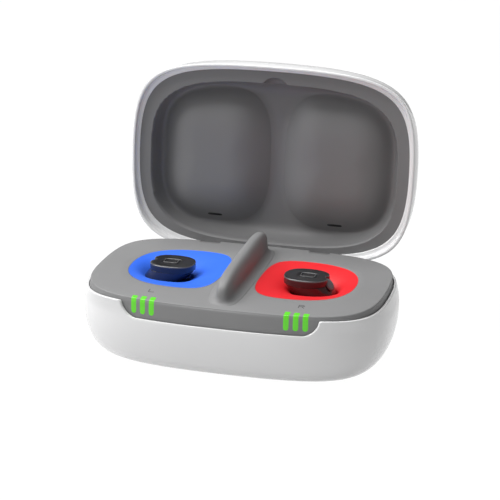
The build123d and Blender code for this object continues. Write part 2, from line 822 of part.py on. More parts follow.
# Lid shell
with BuildPart() as closed_lid_shell:
    loft(lid_form(lid_gap, edge=rim_round))
    loft(lid_form(flange_rise, lid_wall, lid_top_wall), mode=Mode.SUBTRACT)
    loft([lid_face(lid_gap, lid_lip), lid_face(flange_rise, lid_wall)], ruled=True, mode=Mode.SUBTRACT)
    # pads that the hinge arms are screwed to, and the flats in the wall that the arms lie against
    for side in (-1, 1):
        low_x = side * hinge_x - arm_width / 2
        block(
            (low_x - arm_side_gap, arm_front_y - arm_thickness, rim_z),
            (low_x + arm_width + arm_side_gap, arm_front_y + arm_thickness, rim_z + arm_rise + arm_side_gap),
            Mode.SUBTRACT,
        )
        middle_z = rim_z + arm_screw_rise
        pad_back_y = lid_girth_depth / 2 - lid_wall / 2
        block(
            (low_x, arm_front_y + arm_thickness, middle_z - arm_pad_height / 2),
            (low_x + arm_width, pad_back_y, middle_z + arm_pad_height / 2),
        )
        with BuildSketch(Plane.XZ.offset(-(arm_front_y + arm_thickness))) as thread:
            with Locations((side * hinge_x, middle_z)):
                Circle(arm_screw_radius)
        thread_depth = arm_screw_length - (arm_thickness - arm_head_height)
        extrude(thread.sketch, amount=thread_depth, dir=(0, 1, 0), mode=Mode.SUBTRACT)
pieces["lid_shell"] = swung_open(closed_lid_shell.part)

# Hinge arms: a knuckle on the pin and a plate that rises into the lid
with BuildPart() as closed_arm:
    with BuildSketch(Plane.YZ.offset(hinge_x - arm_width / 2)) as arm_side:
        with Locations((hinge_y, hinge_z)):
            Circle(knuckle_radius)
        with Locations((arm_front_y + arm_thickness / 2, (hinge_z + rim_z + arm_rise) / 2)):
            Rectangle(arm_thickness, rim_z + arm_rise - hinge_z)
        with Locations((hinge_y, hinge_z)):
            Circle(pin_radius + pin_clearance, mode=Mode.SUBTRACT)
    extrude(arm_side.sketch, amount=arm_width, dir=(1, 0, 0))
    with BuildSketch(Plane.XZ.offset(-arm_front_y)) as arm_hole:
        with Locations((hinge_x, rim_z + arm_screw_rise)):
            Circle(arm_screw_radius)
    extrude(arm_hole.sketch, amount=arm_thickness, dir=(0, 1, 0), mode=Mode.SUBTRACT)
    with BuildSketch(Plane.XZ.offset(-arm_front_y)) as head_seat:
        with Locations((hinge_x, rim_z + arm_screw_rise)):
            Circle(arm_head_radius)
    extrude(head_seat.sketch, amount=arm_head_height, dir=(0, 1, 0), mode=Mode.SUBTRACT)
pieces["right_hinge_arm"] = swung_open(closed_arm.part)
pieces["left_hinge_arm"] = swung_open(mirror(closed_arm.part, about=Plane.YZ))

with BuildPart() as closed_arm_screws:
    screw_spots = [(side * hinge_x, rim_z + arm_screw_rise) for side in (-1, 1)]
    with BuildSketch(Plane.XZ.offset(-arm_front_y)) as heads:
        with Locations(*screw_spots):
            Circle(arm_head_radius)
    extrude(heads.sketch, amount=arm_head_height, dir=(0, 1, 0))
    with BuildSketch(Plane.XZ.offset(-(arm_front_y + arm_head_height))) as shanks:
        with Locations(*screw_spots):
            Circle(arm_screw_radius)
    extrude(shanks.sketch, amount=arm_screw_length, dir=(0, 1, 0))
pieces["hinge_arm_screws"] = swung_open(closed_arm_screws.part)


def basin_form(grow, roof):
    # the lining's basin from its mouth in the flange up to its floor; grow gives the outside of its wall
    faces = []
    top = basin_floor_rise + roof
    for share in (0.0, 0.3, 0.55, 0.75, 0.9, 0.98, 1.0):
        tuck = draw_in(share, basin_draw, basin_draw_power) - grow
        rise = flange_rise + (top - flange_rise) * share
        half_x, half_y = basin_length / 2 - tuck, basin_depth / 2 - tuck
        faces.append(oval(rim_z + rise, half_x, half_y, basin_power, (0, basin_centre_y)))
    return faces


def bump_form(grow, roof):
    # the small bay at the front of the basin that the fin's toe lies in when the lid is shut
    half_x, half_y = bump_width / 2 + grow, bump_width / 2 + grow
    centre = (0, -bump_reach + bump_width / 2)
    heights = (flange_z, rim_z + flange_rise + bump_rise + roof)
    return [oval(height, half_x, half_y, 2.4, centre) for height in heights]


def pillow_form(side, shrink, low_rise):
    # one pillow: ovals that draw in towards its crown, which is nearest the deck when the lid is shut
    faces = []
    for share in (0.0, 0.25, 0.48, 0.68, 0.83, 0.93, 0.985, 1.0):
        tuck = draw_in(share, pillow_draw, pillow_draw_power) + shrink
        rise = basin_floor_rise + 0.01 - (basin_floor_rise + 0.01 - low_rise) * share
        half_x, half_y = pillow_length / 2 - tuck, pillow_depth / 2 - tuck
        faces.append(oval(rim_z + rise, half_x, half_y, pillow_power, (side * pillow_centre_x, pillow_centre_y)))
    return faces


# Lid liner: flange, basin and two hollow pillows, one moulding
with BuildPart() as closed_lid_liner:
    loft([lid_face(rise, lid_wall + liner_gap) for rise in (flange_rise, flange_rise + liner_wall)], ruled=True)
    loft(basin_form(liner_wall, liner_wall))
    loft(bump_form(liner_wall, liner_wall), ruled=True)
    loft(basin_form(0.0, 0.0), mode=Mode.SUBTRACT)
    loft(bump_form(0.0, 0.0), ruled=True, mode=Mode.SUBTRACT)
    for side in (-1, 1):
        loft(pillow_form(side, 0.0, pillow_low_rise))
    for side in (-1, 1):
        hollow_rise = pillow_low_rise + liner_wall
        loft(pillow_form(side, liner_wall, hollow_rise), mode=Mode.SUBTRACT)
        centre = (side * pillow_centre_x, pillow_centre_y)
        half_x, half_y = pillow_length / 2 - liner_wall, pillow_depth / 2 - liner_wall
        heights = (basin_floor_z, basin_floor_z + liner_wall)
        loft([oval(height, half_x, half_y, pillow_power, centre) for height in heights], ruled=True, mode=Mode.SUBTRACT)
        # slit in the rear flank of the pillow
        block(
            (side * slit_x - slit_length / 2, pillow_centre_y + pillow_depth / 2 - 5.0, rim_z + slit_rise),
            (side * slit_x + slit_length / 2, basin_depth / 2 - 3.0, rim_z + slit_rise + slit_height),
            Mode.SUBTRACT,
        )
        # slot round the hinge arm
        slot_half = arm_width / 2 + arm_slot_gap
        block(
            (side * hinge_x - slot_half, arm_front_y - arm_slot_gap, flange_z - 0.1),
            (side * hinge_x + slot_half, rim_depth, flange_z + liner_wall + 0.1),
            Mode.SUBTRACT,
        )
pieces["lid_liner"] = swung_open(closed_lid_liner.part)

with BuildPart() as closed_lid_magnets:
    low_z = flange_z + liner_wall
    for side in (-1, 1):
        low_x = side * magnet_x - magnet_length / 2
        block((low_x, -magnet_y, low_z), (low_x + magnet_length, -magnet_y + magnet_width, low_z + magnet_height))
pieces["lid_magnets"] = swung_open(closed_lid_magnets.part)

# Hearing aids: the right one is drawn, the left one is its mirror image
lens_plane = Plane(
    origin=(lens_x, bite_centre_y, rim_z + lens_rise),
    x_dir=(0, 1, 0),
    z_dir=Vector(1, 0, 0).rotate(Axis.Y, -lens_lean),
)
well_floor = face_top_z + button_proud - button_height - button_travel - button_floor_gap

with BuildPart() as aid_faceplate:
    with BuildSketch(Plane.XY.offset(face_underside)) as face_outline:
        add(oval(0, face_length / 2, face_depth / 2, face_power, (face_centre_x, face_centre_y)))
        with Locations((bite_centre_x, bite_centre_y)):
            Circle(bite_radius, mode=Mode.SUBTRACT)
    extrude(face_outline.sketch, amount=face_thickness, dir=(0, 0, 1))
    fillet(aid_faceplate.faces().sort_by(Axis.Z)[-1].edges(), face_round)
    block(
        (button_x - button_length / 2 - button_gap, button_y - button_width / 2 - button_gap, well_floor),
        (button_x + button_length / 2 + button_gap, button_y + button_width / 2 + button_gap, face_top_z + 1),
        Mode.SUBTRACT,
    )
    microphone_spots = [(button_x - 3.4, button_y + 3.2), (button_x + 3.6, button_y + 3.4)]
    disc_prism(microphone_spots, microphone_radius, face_top_z - microphone_depth, face_top_z, Mode.SUBTRACT)

with BuildPart() as aid_microphones:
    disc_prism(microphone_spots, microphone_radius, face_top_z - microphone_depth, face_top_z - 0.05)

with BuildPart() as aid_button:
    top = face_top_z + button_proud
    block(
        (button_x - button_length / 2, button_y - button_width / 2, top - button_height),
        (button_x + button_length / 2, button_y + button_width / 2, top),
    )
    fillet(aid_button.faces().sort_by(Axis.Z)[-1].edges(), 0.2)

aid_top_rise = face_top_rise - face_thickness
sleeve_top_rise = -aid_tip_drop + sleeve_height
with BuildPart() as aid_shell:
    loft(aid_form(aid_top_rise, aid_waist_rise), ruled=True)
    loft(aid_form(aid_waist_rise, -aid_tip_drop))
    loft(aid_form(aid_top_rise, aid_waist_rise, aid_wall), ruled=True, mode=Mode.SUBTRACT)
    loft(aid_form(aid_waist_rise, -aid_tip_drop + aid_wall, aid_wall), mode=Mode.SUBTRACT)
    with BuildSketch(lens_plane.offset(-lens_thickness)) as lens_seat:
        Ellipse(lens_width / 2, lens_length / 2)
    extrude(lens_seat.sketch, amount=4 * lens_thickness, mode=Mode.SUBTRACT)

with BuildPart() as aid_lens:
    with BuildSketch(lens_plane.offset(-lens_thickness)) as lens_outline:
        Ellipse(lens_width / 2, lens_length / 2)
    extrude(lens_outline.sketch, amount=lens_thickness)

with BuildPart() as aid_sleeve:
    loft(aid_form(sleeve_top_rise, -aid_tip_drop, -sleeve_wall))
    loft(aid_form(sleeve_top_rise, -aid_tip_drop), mode=Mode.SUBTRACT)

with BuildPart() as aid_cell:
    cell_spot = [(face_centre_x, face_centre_y)]
    disc_prism(cell_spot, aid_cell_radius, face_underside - aid_cell_height, face_underside)

with BuildPart() as aid_receiver:
    low_z = rim_z - aid_tip_drop + aid_wall
    block(
        (aid_tip_x - receiver_length / 2, -receiver_width / 2, low_z),
        (aid_tip_x + receiver_length / 2, receiver_width / 2, low_z + receiver_height),
    )

aid_pieces = {
    "aid_shell": aid_shell,
    "aid_faceplate": aid_faceplate,
    "aid_lens": aid_lens,
    "aid_sleeve": aid_sleeve,
    "aid_microphones": aid_microphones,
    "aid_cell": aid_cell,
    "aid_receiver": aid_receiver,
    "aid_button": aid_button,
}
for name, piece in aid_pieces.items():
    pieces[f"right_{name}"] = piece.part
    pieces[f"left_{name}"] = mirror(piece.part, about=Plane.YZ)

for name, piece in pieces.items():
    piece.label = name
    export_step(piece, f"parts/{name}.step")
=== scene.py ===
import json
import math

import bmesh
import bpy
import numpy as np
from mathutils import Matrix, Vector


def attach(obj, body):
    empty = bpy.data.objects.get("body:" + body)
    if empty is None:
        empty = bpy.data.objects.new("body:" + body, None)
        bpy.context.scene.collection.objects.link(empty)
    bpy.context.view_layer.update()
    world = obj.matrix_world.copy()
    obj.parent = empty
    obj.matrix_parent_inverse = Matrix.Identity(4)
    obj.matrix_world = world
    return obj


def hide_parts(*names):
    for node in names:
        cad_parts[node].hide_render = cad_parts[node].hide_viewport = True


# Hearing aid charger with its lid open: white case, grey deck and lining, blue and red cups, green light bars.
# Sizes are millimetres in the charger's own frame; a mesh is brought to metres as it is built.

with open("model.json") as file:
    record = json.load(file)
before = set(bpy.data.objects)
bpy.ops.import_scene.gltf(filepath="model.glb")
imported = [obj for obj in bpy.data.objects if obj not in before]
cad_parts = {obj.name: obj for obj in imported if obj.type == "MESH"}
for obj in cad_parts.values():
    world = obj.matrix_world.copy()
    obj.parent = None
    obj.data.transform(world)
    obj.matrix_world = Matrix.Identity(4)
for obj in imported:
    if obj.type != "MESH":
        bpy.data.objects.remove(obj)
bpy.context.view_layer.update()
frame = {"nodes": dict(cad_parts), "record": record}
mm = 0.001

case = dict(
    rimLength=92.0, rimDepth=62.7, rimPower=3.8, rimHeight=22.5,
    girthLength=95.3, girthDepth=63.4, girthPower=3.1, girthAt=5.0,
    baseDrop=22.0, draw=10.5, power=2.37,
)
lidTurn = dict(pivotY=30.2, pivotZ=20.8, angle=91.3)

print("frame loaded:", len(frame["nodes"]), "nodes")


# Meshes

def gridFaces(rows, columns, closed):
    # the four corners of every cell of a grid of points, row by row, wrapping round where it is closed
    steps = columns if closed else columns - 1
    row, column = np.meshgrid(np.arange(rows - 1), np.arange(steps), indexing="ij")
    after = (column + 1) % columns
    low, high = row * columns, (row + 1) * columns
    return np.stack([low + column, low + after, high + after, high + column], -1).reshape(-1, 4)


def buildMesh(name, points, faces, loops=()):
    # a mesh object in metres from points in millimetres, quads, and any many-sided end faces
    mesh = bpy.data.meshes.new(name)
    sides = [len(loop) for loop in loops]
    corners = np.concatenate([faces.ravel()] + [np.array(loop) for loop in loops]).astype(np.int32)
    totals = np.concatenate([np.full(len(faces), 4), sides]).astype(np.int32)
    starts = np.concatenate([[0], np.cumsum(totals)[:-1]]).astype(np.int32)
    mesh.vertices.add(len(points))
    mesh.vertices.foreach_set("co", (np.asarray(points, float) * mm).ravel())
    mesh.loops.add(len(corners))
    mesh.loops.foreach_set("vertex_index", corners)
    mesh.polygons.add(len(totals))
    mesh.polygons.foreach_set("loop_start", starts)
    mesh.polygons.foreach_set("loop_total", totals)
    mesh.update(calc_edges=True)
    mesh.validate()
    mesh.shade_smooth()
    piece = bpy.data.objects.new(name, mesh)
    bpy.context.scene.collection.objects.link(piece)
    return piece


def gridPiece(name, grid, closed=True, capLow=False, capHigh=False):
    # a surface through a grid of points, rows by columns, with flat ends where asked
    rows, columns = grid.shape[:2]
    loops = []
    if capLow:
        loops.append(np.arange(columns)[::-1])
    if capHigh:
        loops.append(np.arange(columns) + (rows - 1) * columns)
    return buildMesh(name, grid.reshape(-1, 3), gridFaces(rows, columns, closed), loops)


def outward(piece, weld=0.002):
    # joins points closer than the weld distance and turns every face outwards
    shape = bmesh.new()
    shape.from_mesh(piece.data)
    bmesh.ops.remove_doubles(shape, verts=shape.verts, dist=weld * mm)
    bmesh.ops.recalc_face_normals(shape, faces=shape.faces)
    shape.to_mesh(piece.data)
    shape.free()
    piece.data.shade_smooth()
    return piece


def dress(piece, body, material, slot, *nodes):
    # gives the piece its material, the body it rides on and the nodes it stands for
    piece.data.materials.clear()
    piece.data.materials.append(material)
    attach(piece, body)
    if nodes:
        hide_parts(*nodes)
    return piece


def cutAway(piece, blocks):
    # the piece with openings cut through it, each a box from its low corner to its high corner
    picks = np.array([[k & 1, k >> 1 & 1, k >> 2] for k in range(8)])
    sides = np.array([[0, 2, 3, 1], [4, 5, 7, 6], [0, 1, 5, 4], [2, 6, 7, 3], [0, 4, 6, 2], [1, 3, 7, 5]])
    for low, high in blocks:
        cutter = buildMesh("cutter", np.where(picks, high, low), sides)
        cutting = piece.modifiers.new("cut", "BOOLEAN")
        cutting.operation, cutting.solver, cutting.object = "DIFFERENCE", "EXACT", cutter
        bpy.context.view_layer.update()
        finished = piece.evaluated_get(bpy.context.evaluated_depsgraph_get())
        piece.data = bpy.data.meshes.new_from_object(finished)
        piece.modifiers.clear()
        bpy.data.objects.remove(cutter)
    return piece


def smooth(share):
    # eases from 0 to 1 with level ends
    share = np.clip(share, 0.0, 1.0)
    return share * share * (3 - 2 * share)


def ovalAt(turn, halfX, halfY, power):
    # a squared-off oval as four cubic quarters, turn counting quarters from +x, through the diagonal point of
    # |x/a| to the power + |y/b| to the power = 1
    quarter = np.floor(turn).astype(int) % 4
    t = turn - np.floor(turn)
    handle = (8 * 2.0 ** (-1 / power) - 4) / 3
    near = (1 - t) ** 3 + 3 * (1 - t) ** 2 * t + 3 * (1 - t) * t**2 * handle
    far = 3 * (1 - t) ** 2 * t * handle + 3 * (1 - t) * t**2 + t**3
    x = np.choose(quarter, [near, -far, -near, far])
    y = np.choose(quarter, [far, near, -far, -near])
    return x * halfX, y * halfY


def drawIn(share, amount, power):
    # a squared quarter arc: nothing at share 0, the whole amount at share 1
    return amount * (1 - (1 - np.clip(share, 0, 1) ** power) ** (1 / power))


def swungOpen(points):
    # a closed-lid point turned about the hinge line to where the lid stands open
    angle = math.radians(lidTurn["angle"])
    y, z = points[..., 1] - lidTurn["pivotY"], points[..., 2] - lidTurn["pivotZ"]
    turned = np.array(points, float)
    turned[..., 1] = lidTurn["pivotY"] + y * math.cos(angle) + z * math.sin(angle)
    turned[..., 2] = lidTurn["pivotZ"] - y * math.sin(angle) + z * math.cos(angle)
    return turned


# Materials

def nodeGroup(name, inputs, outputs):
    # an empty shader group with named sockets; returns the group, its input node and its output node
    group = bpy.data.node_groups.new(name, "ShaderNodeTree")
    for label, kind, value in inputs:
        socket = group.interface.new_socket(label, in_out="INPUT", socket_type=kind)
        socket.default_value = value
    for label, kind in outputs:
        group.interface.new_socket(label, in_out="OUTPUT", socket_type=kind)
    return group, group.nodes.new("NodeGroupInput"), group.nodes.new("NodeGroupOutput")


def mouldGrainGroup():
    # fine pitted grain and slow drift of a moulded plastic: a height for bump and a tone from 0 to 1
    group, start, end = nodeGroup(
        "mouldGrain",
        [("Grain", "NodeSocketFloat", 5000.0), ("Drift", "NodeSocketFloat", 60.0)],
        [("Height", "NodeSocketFloat"), ("Tone", "NodeSocketFloat")],
    )
    nodes, links = group.nodes, group.links
    place = nodes.new("ShaderNodeTexCoord")
    fine = nodes.new("ShaderNodeTexNoise")
    fine.inputs["Detail"].default_value = 2.0
    slow = nodes.new("ShaderNodeTexNoise")
    slow.inputs["Detail"].default_value = 3.0
    links.new(place.outputs["Object"], fine.inputs["Vector"])
    links.new(place.outputs["Object"], slow.inputs["Vector"])
    links.new(start.outputs["Grain"], fine.inputs["Scale"])
    links.new(start.outputs["Drift"], slow.inputs["Scale"])
    links.new(fine.outputs["Fac"], end.inputs["Height"])
    links.new(slow.outputs["Fac"], end.inputs["Tone"])
    return group


grainGroup = mouldGrainGroup()


def plastic(name, color, rough=0.5, roughSpread=0.06, toneSpread=0.04, grain=5000.0, bump=0.02, coat=0.0,
            coatRough=0.1, drift=60.0, emission=0.0, metallic=0.0):
    # moulded plastic: base colour and roughness drift a little, and the grain stands as a slight bump
    material = bpy.data.materials.new(name)
    material.use_nodes = True
    nodes, links = material.node_tree.nodes, material.node_tree.links
    shader = nodes["Principled BSDF"]
    shader.inputs["Coat Weight"].default_value = coat
    shader.inputs["Coat Roughness"].default_value = coatRough
    shader.inputs["Metallic"].default_value = metallic
    pattern = nodes.new("ShaderNodeGroup")
    pattern.node_tree = grainGroup
    pattern.inputs["Grain"].default_value = grain
    pattern.inputs["Drift"].default_value = drift
    tint = nodes.new("ShaderNodeMix")
    tint.data_type = "RGBA"
    tint.inputs["A"].default_value = [max(0.0, c * (1 - toneSpread)) for c in color] + [1.0]
    tint.inputs["B"].default_value = [min(1.0, c * (1 + toneSpread)) for c in color] + [1.0]
    spread = nodes.new("ShaderNodeMapRange")
    spread.inputs["To Min"].default_value = max(0.02, rough - roughSpread)
    spread.inputs["To Max"].default_value = min(1.0, rough + roughSpread)
    relief = nodes.new("ShaderNodeBump")
    relief.inputs["Strength"].default_value = bump
    relief.inputs["Distance"].default_value = 0.0001
    links.new(pattern.outputs["Tone"], tint.inputs["Factor"])
    links.new(pattern.outputs["Tone"], spread.inputs["Value"])
    links.new(pattern.outputs["Height"], relief.inputs["Height"])
    links.new(tint.outputs["Result"], shader.inputs["Base Color"])
    links.new(spread.outputs["Result"], shader.inputs["Roughness"])
    links.new(relief.outputs["Normal"], shader.inputs["Normal"])
    if emission:
        links.new(tint.outputs["Result"], shader.inputs["Emission Color"])
        shader.inputs["Emission Strength"].default_value = emission
    return material


paint = dict(
    white=plastic(
        "shellWhite", (0.84, 0.84, 0.845), rough=0.22, coat=0.4, coatRough=0.06, bump=0.01, toneSpread=0.01,
    ),
    deck=plastic("deckGrey", (0.245, 0.245, 0.247), rough=0.55, bump=0.10, grain=7000.0),
    lining=plastic("liningGrey", (0.195, 0.194, 0.196), rough=0.52, bump=0.08, grain=7000.0),
    blue=plastic("cupBlue", (0.035, 0.17, 0.92), rough=0.5, bump=0.06),
    red=plastic("cupRed", (0.85, 0.012, 0.02), rough=0.5, bump=0.06),
    green=plastic("barGreen", (0.11, 0.60, 0.02), rough=0.35, bump=0.02, emission=0.25, grain=3000.0),
    black=plastic("aidBlack", (0.012, 0.012, 0.014), rough=0.3, coat=0.5, coatRough=0.15, bump=0.10, grain=4000.0),
    aidBlue=plastic("aidBlue", (0.012, 0.014, 0.03), rough=0.25, coat=0.6, coatRough=0.08, bump=0.03),
    aidRed=plastic("aidRed", (0.035, 0.006, 0.008), rough=0.25, coat=0.6, coatRough=0.08, bump=0.03),
    # near black for the slits: painted shade standing for the dark inside of a slot
    slit=plastic("slitShade", (0.008, 0.008, 0.009), rough=0.7, bump=0.02),
    mark=plastic("markGrey", (0.085, 0.085, 0.088), rough=0.6, bump=0.03),
    # lighter than the faceplate: on the bevel line and round the button this lightness is painted highlight, on
    # the lens rim it is the rim's own grey
    edge=plastic("aidEdgeAndHighlight", (0.09, 0.09, 0.095), rough=0.25, coat=0.8, coatRough=0.1, bump=0.03),
    lens=plastic("lensGrey", (0.12, 0.12, 0.13), rough=0.3, coat=0.8, coatRough=0.05),
    rubber=plastic("footRubber", (0.05, 0.05, 0.05), rough=0.8, bump=0.3, grain=2500.0),
    frame=plastic("framePlastic", (0.09, 0.09, 0.095), rough=0.6, bump=0.1),
    steel=plastic("steel", (0.55, 0.55, 0.56), rough=0.32, metallic=1.0, bump=0.05, grain=9000.0),
    board=plastic("boardGreen", (0.02, 0.16, 0.07), rough=0.4, bump=0.05, grain=2000.0),
    copper=plastic("coilCopper", (0.60, 0.28, 0.12), rough=0.35, metallic=1.0, bump=0.2, grain=6000.0),
)

slotPaint = dict(
    shell_white="white", deck_grey="deck", liner_grey="lining", cup_blue="blue", cup_red="red", bar_green="green",
    frame_plastic="frame", aid_black="black", aid_blue="aidBlue", aid_red="aidRed", sleeve_rubber="rubber",
    foot_rubber="rubber", steel="steel", cell_foil="steel", board_green="board", chip_black="black",
    coil_copper="copper", ferrite="frame", lens_grey="lens",
)
slotOf = {row["node"]: row["material_slot"] for row in frame["record"]["subparts"]}
for nodeName, node in frame["nodes"].items():
    node.data.materials.clear()
    node.data.materials.append(paint[slotPaint[slotOf[nodeName]]])
print("materials made:", len(paint))


# Base shell

shellLook = dict(
    outerRows=56, innerRows=20, linearShare=0.35, lipWall=0.8, wall=1.8, edgeRound=0.3, floorLift=1.8,
    lipShare=0.1, lipStep=0.05, spreadPace=1.6, notchHalf=30.1, notchDrop=4.9, notchCorner=4.2, notchShoulder=0.6,
    flatSteps=60, bendSteps=24, topSteps=12, sideSteps=4, restSteps=262,
)


def bulge(level, look, linear, far):
    # level runs 0 to 1 from a rim to the far end of a half case: a straight share out to the girth, then a squared
    # quarter arc that draws in; gives the half sizes, the power, the draw-in and the distance gone
    upper = np.clip(level / linear, 0, 1)
    ease = np.sin(upper * math.pi / 2)
    halfX = (case["rimLength"] + (look["girthLength"] - case["rimLength"]) * ease) / 2
    halfY = (case["rimDepth"] + (look["girthDepth"] - case["rimDepth"]) * ease) / 2
    power = case["rimPower"] + (look["girthPower"] - case["rimPower"]) * ease
    sweep = np.clip((level - linear) / (1 - linear), 0, 1) * math.pi / 2
    tuck = look["draw"] * (1 - np.cos(sweep) ** (2 / look["power"]))
    return halfX, halfY, power, tuck, upper * look["girthAt"] + np.sin(sweep) ** (2 / look["power"]) * far


def caseProfile(level, floorLift=0.0):
    # the base's form at a level, its bottom lifted where the inside is meant
    return bulge(level, case, shellLook["linearShare"], case["baseDrop"] - floorLift - case["girthAt"])


rimTurns = np.linspace(3, 7, 4001)
rimX, rimY = ovalAt(rimTurns, case["rimLength"] / 2, case["rimDepth"] / 2, case["rimPower"])
rimRun = np.concatenate([[0], np.cumsum(np.hypot(np.diff(rimX), np.diff(rimY)))])
rimTotal = rimRun[-1]


def runToTurn(run):
    # the turn on the rim at a run from the front middle, counted towards +x and wrapping round
    return np.interp(np.mod(run, rimTotal), rimRun, rimTurns)


def casePoint(run, level, inset, floorLift=0.0):
    # a point on the case's form, moved inwards by the inset
    halfX, halfY, power, tuck, drop = caseProfile(level, floorLift)
    x, y = ovalAt(runToTurn(run), halfX - tuck - inset, halfY - tuck - inset, power)
    return np.stack([x, y, np.broadcast_to(case["rimHeight"] - drop, x.shape)], -1)


def notchEdge():
    # the shell's top edge from the front middle round to the rear middle, as run, drop and the direction into the
    # wall: notch floor, concave corner, side, small convex shoulder, rim
    half = np.interp(shellLook["notchHalf"], rimX[:1000], rimRun[:1000])
    low, corner, shoulder = shellLook["notchDrop"], shellLook["notchCorner"], shellLook["notchShoulder"]
    flat = np.linspace(0, 1, shellLook["flatSteps"], endpoint=False)
    bend = np.linspace(0, math.pi / 2, shellLook["bendSteps"], endpoint=False)
    top = np.linspace(0, math.pi / 2, shellLook["topSteps"])
    side = np.linspace(0, 1, shellLook["sideSteps"], endpoint=False)[1:]
    rest = np.linspace(0, 1, shellLook["restSteps"])[1:]
    run = np.concatenate([
        flat * (half - corner), half - corner + corner * np.sin(bend), np.full(side.shape, half),
        half + shoulder - shoulder * np.cos(top), half + shoulder + rest * (rimTotal / 2 - half - shoulder),
    ])
    floor = low - corner
    drop = np.concatenate([
        np.full(flat.shape, low), floor + corner * np.cos(bend), floor + side * (shoulder - floor),
        shoulder - shoulder * np.sin(top), np.zeros(rest.shape),
    ])
    alongRun = np.concatenate([0 * flat, np.sin(bend), np.ones(side.shape), np.cos(top), np.zeros(rest.shape)])
    alongDrop = np.concatenate([
        np.ones(flat.shape), np.cos(bend), np.zeros(side.shape), np.sin(top), np.ones(rest.shape),
    ])
    halves = ((run, -1), (drop, 1), (alongRun, -1), (alongDrop, 1))
    return [np.concatenate([values, sign * values[-2:0:-1]]) for values, sign in halves]


def shellSkin():
    # rows from the inner floor up the inner wall, over the rounded edge, and down the outer wall to the bottom
    run, drop, alongRun, alongDrop = notchEdge()
    length = np.concatenate([[0], np.cumsum(np.hypot(np.diff(run), np.diff(drop)))])
    half = len(run) // 2
    path = np.concatenate([length[: half + 1], -length[half - 1:0:-1]])
    spreadRun = path * (rimTotal / 2) / length[half]
    perDrop = shellLook["linearShare"] / case["girthAt"]
    startLevel = drop * perDrop
    rounding, lip = shellLook["edgeRound"], shellLook["lipWall"]
    rows = []
    for share in np.linspace(1, 0, shellLook["innerRows"], endpoint=False):
        level = startLevel + (1 - startLevel) * share + rounding * perDrop * (1 - share)
        inset = lip + (shellLook["wall"] - lip) * smooth((share - shellLook["lipShare"]) / shellLook["lipStep"])
        drift = run + (spreadRun - run) * smooth(share)
        rows.append(casePoint(drift, level, inset, shellLook["floorLift"] * smooth(share)))
    for angle in np.linspace(0, math.pi / 2, 5):
        into, inset = rounding * (1 - math.sin(angle)), lip - rounding * (1 - math.cos(angle))
        rows.append(casePoint(run + alongRun * into, startLevel + alongDrop * into * perDrop, inset))
    for angle in np.linspace(0, math.pi / 2, 6):
        into, inset = rounding * (1 - math.cos(angle)), rounding * (1 - math.sin(angle))
        rows.append(casePoint(run + alongRun * into, startLevel + alongDrop * into * perDrop, inset))
    edgeRun, edgeLevel = run + alongRun * rounding, startLevel + alongDrop * rounding * perDrop
    for share in np.linspace(0, 1, shellLook["outerRows"])[1:]:
        level = edgeLevel + (1 - edgeLevel) * share
        drift = edgeRun + (spreadRun - edgeRun) * smooth(share * shellLook["spreadPace"])
        rows.append(casePoint(drift, level, 0.0))
    return outward(gridPiece("baseSkin", np.stack(rows), capLow=True, capHigh=True))


rearCuts = dict(
    hingeX=18.0, topZ=30.0, backY=40.0, windowHalf=6.4, windowY=27.6, windowLow=19.2, slotHalf=3.3, slotY=28.45,
    slotLow=17.6, socketHalf=4.67, socketY=26.2, socketLow=9.8, socketHigh=13.46,
)


def rearBlock(kind, middle, high):
    # the low and high corners of a box that opens through the rear wall
    half, frontY, low = (rearCuts[kind + part] for part in ("Half", "Y", "Low"))
    return (middle - half, frontY, low), (middle + half, rearCuts["backY"], high)


def hingeBlocks(kind):
    # the same opening at both hinges
    return [rearBlock(kind, side * rearCuts["hingeX"], rearCuts["topZ"]) for side in (-1, 1)]


openings = hingeBlocks("window") + [rearBlock("socket", 0.0, rearCuts["socketHigh"])]
dress(cutAway(shellSkin(), openings), "base", paint["white"], "shell_white", "base_shell")
print("base shell made")


# Deck tray

deckLook = dict(
    inset=0.95, draftInset=1.1, draftRise=0.5, shoulderInset=1.15, shoulderRound=0.35, rise=2.13,
    skirtDrops=(6.2, 4.0, 2.0, 1.0, 0.0), shoulderRows=8, holeWall=1.4, middleColumns=120,
    crownStart=-10.0, crownDrop=1.41, cupInner=5.7, cupMiddle=17.0, cupOuter=35.2, cupHalf=18.15, cupCentre=20.4,
    innerPower=3.3, outerPower=2.45, edgeRound=0.12, columns=240,
)
deckHeight = case["rimHeight"] + deckLook["rise"]


def crownFall(y):
    # how far the deck's top has rolled down towards the front, as a parabola
    start = deckLook["crownStart"]
    return deckLook["crownDrop"] * (np.clip(start - y, 0, None) / (start + case["rimDepth"] / 2)) ** 2


def crowned(points):
    # lowers points with the deck's crown: wholly from the shoulder up, and less and less down the leaning wall
    low = deckLook["draftRise"]
    high = deckLook["rise"] - deckLook["shoulderRound"]
    weight = np.clip((points[..., 2] - case["rimHeight"] - low) / (high - low), 0, 1)
    lowered = np.array(points, float)
    lowered[..., 2] -= weight * crownFall(points[..., 1])
    return lowered


def cupOutline(angles, grow=0.0):
    # the right cup's outline at angles about its middle: a squarer half beside the fin, a rounder outer half
    half = deckLook["cupHalf"] + grow
    outer = deckLook["cupOuter"] - deckLook["cupMiddle"] + grow
    inner = deckLook["cupMiddle"] - deckLook["cupInner"] + grow
    first, second = np.linspace(-1, 1, 240, endpoint=False), np.linspace(1, 3, 240, endpoint=False)
    outerX, outerY = ovalAt(first, outer, half, deckLook["outerPower"])
    innerX, innerY = ovalAt(second, inner, half, deckLook["innerPower"])
    x, y = np.concatenate([outerX, innerX]) + deckLook["cupMiddle"], np.concatenate([outerY, innerY])
    return rayPoints(angles, x, y, (deckLook["cupCentre"], 0.0))


